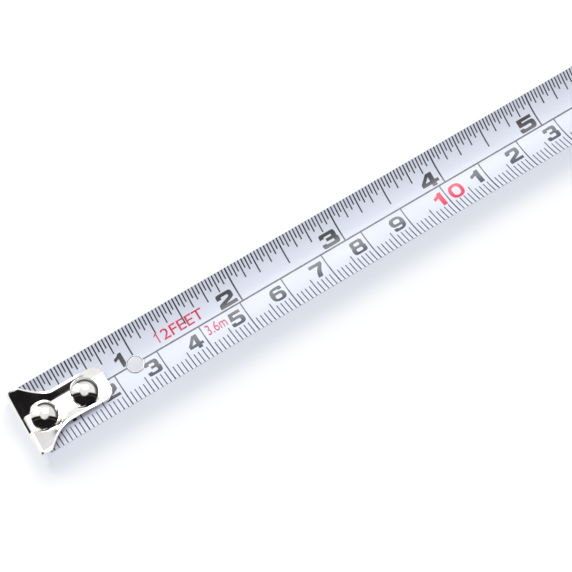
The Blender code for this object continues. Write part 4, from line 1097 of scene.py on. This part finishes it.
# ---- The belt clip and the screws ----------------------------------------------------
# A bent strip of spring steel held by one screw, and three zinc-plated screws sunk into
# the right half. All four have a cross recess.
CLIP_T = 0.8 * MM
CLIP_HALF = 7.0 * MM
CLIP_LOW, CLIP_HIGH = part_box("belt_clip")[0].z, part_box("belt_clip")[1].z
CLIP_PATH = ((0, 0, 0), (0, 9.2, 1.6), (5.94, 14.6, 2.6), (5.94, 31.0, 5.0), (2.9, 36.2, 2.4),
             (1.3, 37.6, 1.2), (2.6, 40.0, 0))
path = soft_corners([(off, down, radius) for off, down, radius in CLIP_PATH])
rows = []
for index, place in enumerate(path):
    down = place.y * MM
    end = max(min(down, CLIP_HIGH - CLIP_LOW - down, 1.5 * MM), 0) / (1.5 * MM)
    half = CLIP_HALF - 1.5 * MM * (1 - math.sqrt(1 - (1 - end) ** 2))
    rows.append([(half * across / 6, GRIP_IN + place.x * MM, CLIP_HIGH - down) for across in range(-6, 7)])
mesh = bpy.data.meshes.new("clip")
mesh.from_pydata([point for row in rows for point in row], [],
                 [(r * 13 + c, r * 13 + c + 1, r * 13 + c + 14, r * 13 + c + 13)
                  for r in range(len(rows) - 1) for c in range(12)])
clip = bpy.data.objects.new("clip", mesh)
scene.collection.objects.link(clip)
if sum(face.normal.y for face in mesh.polygons) < 0:
    mesh.flip_normals()
sheet = clip.modifiers.new("sheet", "SOLIDIFY")
sheet.thickness = CLIP_T
sheet.offset = 1
sheet.use_even_offset = True
edges = clip.modifiers.new("rolled_edges", "BEVEL")
edges.width = 0.15 * MM
edges.segments = 2
edges.limit_method = "ANGLE"
edges.angle_limit = math.radians(50)
apply_all(clip)
cut_with(clip, pin(SCREW_R + 0.12 * MM, 0, CLIP_SCREW_Z, SHELL_HALF - WALL, SHELL_HALF + 2 * WALL))
brushed, tree, surface = new_material("brushed_steel", metallic=1.0)
lines = place_group(tree, HAIRLINES, Stretch=(3600, 3600, 90))
two_tones(tree, surface, lines.outputs["Mask"], (0.60, 0.60, 0.61), (0.47, 0.47, 0.48))
uneven_shine(tree, surface, lines.outputs["Mask"], 0.24, 0.38)
bump(tree, surface, lines.outputs["Height"], 0.012 * MM, 0.6)
smooth(clip, 35)
settle(clip, "bent_clip", "case", brushed, ["belt_clip"])

zinc, tree, surface = new_material("bright_zinc", metallic=1.0)
wear = place_group(tree, UNEVEN, Fine_Scale=1300.0, Slow_Scale=520.0)
two_tones(tree, surface, wear.outputs["Mask"], (0.50, 0.51, 0.54), (0.36, 0.37, 0.40))
uneven_shine(tree, surface, wear.outputs["Mask"], 0.22, 0.38)
bump(tree, surface, wear.outputs["Height"], 0.01 * MM, 0.5)
clip_foot = GRIP_IN + CLIP_T + 0.15 * MM
for name, (x, z), head_y, length in (
        [(node, place, SHELL_HALF - SCREW_HEAD_H, 16.0 * MM)
         for node, place in zip(SCREW_NODES, SCREW_PLACES)]
        + [("clip_screw", (0, CLIP_SCREW_Z), clip_foot, WALL + CLIP_T)]):
    profile = [(0, -length), (SCREW_R * 0.6, -length), (SCREW_R, -length + SCREW_R), (SCREW_R, 0),
               (SCREW_HEAD_R, 0), (SCREW_HEAD_R, SCREW_HEAD_H * 0.55), (SCREW_HEAD_R * 0.97, SCREW_HEAD_H * 0.72),
               (SCREW_HEAD_R * 0.88, SCREW_HEAD_H * 0.88), (SCREW_HEAD_R * 0.72, SCREW_HEAD_H * 0.97),
               (SCREW_HEAD_R * 0.5, SCREW_HEAD_H), (0, SCREW_HEAD_H)]
    screw = turned([(x + r, head_y + up, z) for r, up in profile], (x, 0, z), (0, 1, 0), 40)
    reach, arm = SCREW_HEAD_R * 0.6, 0.24 * MM
    for wide, tall in ((reach, arm), (arm, reach)):
        cut_with(screw, block((x - wide, head_y + SCREW_HEAD_H * 0.45, z - tall),
                              (x + wide, head_y + SCREW_HEAD_H * 2, z + tall)))
    smooth(screw, 35)
    settle(screw, name + "_turned", "case", zinc, [name])


# ---- The lock ------------------------------------------------------------------------
# A red thumb button on the front, joined through the window to a slider inside the wall.
# Pushed down, the slider's foot presses two rubber pads onto the blade.
low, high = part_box("lock_button")
face_back = -CASE_BACK - GAP
middle_z = 27.6 * MM
button = block(low, (face_back, high.y, high.z))
round_rim(button, lambda co: abs(co.x - low.x) < 1e-6, 1.2 * MM, 6)
groove = block((low.x - WALL, -4.2 * MM, middle_z - 4.8 * MM),
               (low.x + 0.6 * MM, 4.2 * MM, middle_z - 4.0 * MM))
rows = groove.modifiers.new("rows", "ARRAY")
rows.use_relative_offset = False
rows.use_constant_offset = True
rows.constant_offset_displace = (0, 0, 2.2 * MM)
rows.count = 5
apply_all(groove)
cut_with(button, groove)
edges = button.modifiers.new("moulded_edges", "BEVEL")
edges.width = 0.12 * MM
edges.segments = 2
edges.limit_method = "ANGLE"
edges.angle_limit = math.radians(60)
apply_all(button)
cut_with(button, block((face_back - GAP, -3.6 * MM, middle_z - 2.5 * MM),
                       (high.x, 3.6 * MM, middle_z + 2.5 * MM)), "UNION")
red_plastic = moulded("red_plastic", (0.50, 0.022, 0.026), (0.56, 0.030, 0.034),
                      0.30, 0.40, 2200.0, 0.015 * MM)
smooth(button, 35)
settle(button, "thumb_button", "lock", red_plastic, ["lock_button"])

low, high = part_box("lock_slider")
slider = block((low.x, -5.5 * MM, low.z), (low.x + 1.6 * MM, 5.5 * MM, high.z))
cut_with(slider, block(low, (high.x, high.y, low.z + 1.8 * MM)), "UNION")
edges = slider.modifiers.new("moulded_edges", "BEVEL")
edges.width = 0.25 * MM
edges.segments = 3
edges.limit_method = "ANGLE"
edges.angle_limit = math.radians(60)
apply_all(slider)
nylon = moulded("white_nylon", (0.62, 0.60, 0.54), (0.56, 0.54, 0.48), 0.38, 0.50, 1800.0, 0.02 * MM)
smooth(slider, 35)
settle(slider, "slider_moulding", "lock", nylon, ["lock_slider"])
for name in ("brake_pad_left", "brake_pad_right"):
    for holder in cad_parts[name].material_slots:
        holder.material = rubber


# ---- The reel ------------------------------------------------------------------------
# A nylon drum and its cover turn on a split steel post. The wound blade lies on the drum
# and the blued power spring inside it pulls the blade back.
DRUM_R = 16.5 * MM
HUB_R = 3.12 * MM
low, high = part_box("reel_drum")
FLANGE_R = high.x
CHAMBER_R = DRUM_R - 1.4 * MM
FLANGE_T = 0.9 * MM


def turned_ring(profile, steps=96):
    """A closed profile of (radius, y) turned round the reel's axis."""
    return turned([(r, y, REEL_Z) for r, y in profile + profile[:1]], (0, 0, REEL_Z), (0, 1, 0), steps)


drum = turned_ring([(HUB_R, low.y), (FLANGE_R - 0.2 * MM, low.y), (FLANGE_R, low.y + 0.2 * MM),
                    (FLANGE_R, low.y + FLANGE_T - 0.2 * MM), (FLANGE_R - 0.2 * MM, low.y + FLANGE_T),
                    (DRUM_R, low.y + FLANGE_T), (DRUM_R, high.y), (CHAMBER_R, high.y),
                    (CHAMBER_R, low.y + 2 * FLANGE_T), (HUB_R, low.y + 2 * FLANGE_T)])
smooth(drum, 35)
settle(drum, "drum_moulding", "reel", nylon, ["reel_drum"])
low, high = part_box("reel_cover")
cover = turned_ring([(HUB_R, high.y), (HUB_R, high.y - 2 * FLANGE_T), (CHAMBER_R - GAP, high.y - 2 * FLANGE_T),
                     (CHAMBER_R - GAP, high.y - FLANGE_T), (FLANGE_R - 0.2 * MM, high.y - FLANGE_T),
                     (FLANGE_R, high.y - FLANGE_T + 0.2 * MM), (FLANGE_R, high.y - 0.2 * MM),
                     (FLANGE_R - 0.2 * MM, high.y)])
smooth(cover, 35)
settle(cover, "cover_moulding", "reel", nylon, ["reel_cover"])

low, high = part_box("blade_coil")
COIL_R = high.x - 0.9 * MM
coil = turned_ring([(DRUM_R + GAP, low.y), (COIL_R, low.y), (COIL_R, high.y), (DRUM_R + GAP, high.y)], 128)
wound, tree, surface = new_material("wound_enamel_and_painted_gap_shade")
place = tree.nodes.new("ShaderNodeTexCoord")
flat = tree.nodes.new("ShaderNodeVectorMath")
flat.operation = "MULTIPLY"
flat.inputs[1].default_value = (1, 0, 1)
tree.links.new(place.outputs["Object"], flat.inputs[0])
away = tree.nodes.new("ShaderNodeVectorMath")
away.operation = "DISTANCE"
away.inputs[1].default_value = (0, 0, REEL_Z)
tree.links.new(flat.outputs["Vector"], away.inputs[0])
# The dark lines between the wound turns are painted shade: the shadowed gaps between the layers are drawn as dark
# colour over the white enamel.
turn_at = math_node(tree, "PINGPONG", away.outputs["Value"], 0.08 * MM)
between = ramp_node(tree, turn_at, 0.05 * MM, 0.08 * MM)
two_tones(tree, surface, between, ENAMEL, (0.12, 0.12, 0.14))
uneven_shine(tree, surface, between, 0.34, 0.6)
bump(tree, surface, turn_at, 0.05 * MM, 0.6)
smooth(coil, 35)
settle(coil, "wound_blade", "reel", wound, ["blade_coil"])

low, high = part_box("centre_post")
post = pin(3.0 * MM, 0, REEL_Z, GAP - CAVITY_HALF, CAVITY_HALF - GAP, 64)
cut_with(post, block((-1.8 * MM, low.y, REEL_Z - 1.8 * MM), (1.8 * MM, high.y, REEL_Z + 1.8 * MM)), "UNION")
cut_with(post, block((0, -6.6 * MM, REEL_Z - 0.35 * MM), (6 * MM, 6.6 * MM, REEL_Z + 0.35 * MM)))
smooth(post, 35)
settle(post, "split_post", "case", brushed, ["centre_post"])

SPRING_T = 0.35 * MM
SPRING_TURNS = 7
first_r, last_r = 3.9 * MM, CHAMBER_R - GAP - SPRING_T
route = [Vector((1.35 * MM, 0)), Vector((3.3 * MM, 0))]
for step in range(1, 48 * SPRING_TURNS + 1):
    share = step / (48 * SPRING_TURNS)
    angle, radius = share * math.tau * SPRING_TURNS, first_r + (last_r - first_r) * share
    route.append(Vector((radius * math.cos(angle), radius * math.sin(angle))))
mesh = bpy.data.meshes.new("spring")
mesh.from_pydata([(place.x, y, REEL_Z + place.y) for place in route for y in (-6.0 * MM, 6.0 * MM)], [],
                 [(2 * i, 2 * i + 1, 2 * i + 3, 2 * i + 2) for i in range(len(route) - 1)])
spring = bpy.data.objects.new("spring", mesh)
scene.collection.objects.link(spring)
strip = spring.modifiers.new("strip", "SOLIDIFY")
strip.thickness = SPRING_T
strip.offset = 0
apply_all(spring)
blued, tree, surface = new_material("blued_steel", metallic=1.0)
lines = place_group(tree, HAIRLINES, Stretch=(500, 4200, 500))
two_tones(tree, surface, lines.outputs["Mask"], (0.10, 0.13, 0.22), (0.20, 0.17, 0.14))
uneven_shine(tree, surface, lines.outputs["Mask"], 0.26, 0.40)
bump(tree, surface, lines.outputs["Height"], 0.01 * MM, 0.5)
smooth(spring, 35)
settle(spring, "spiral_spring", "reel", blued, ["power_spring"])

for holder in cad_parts["blade_guide"].material_slots:
    holder.material = brushed
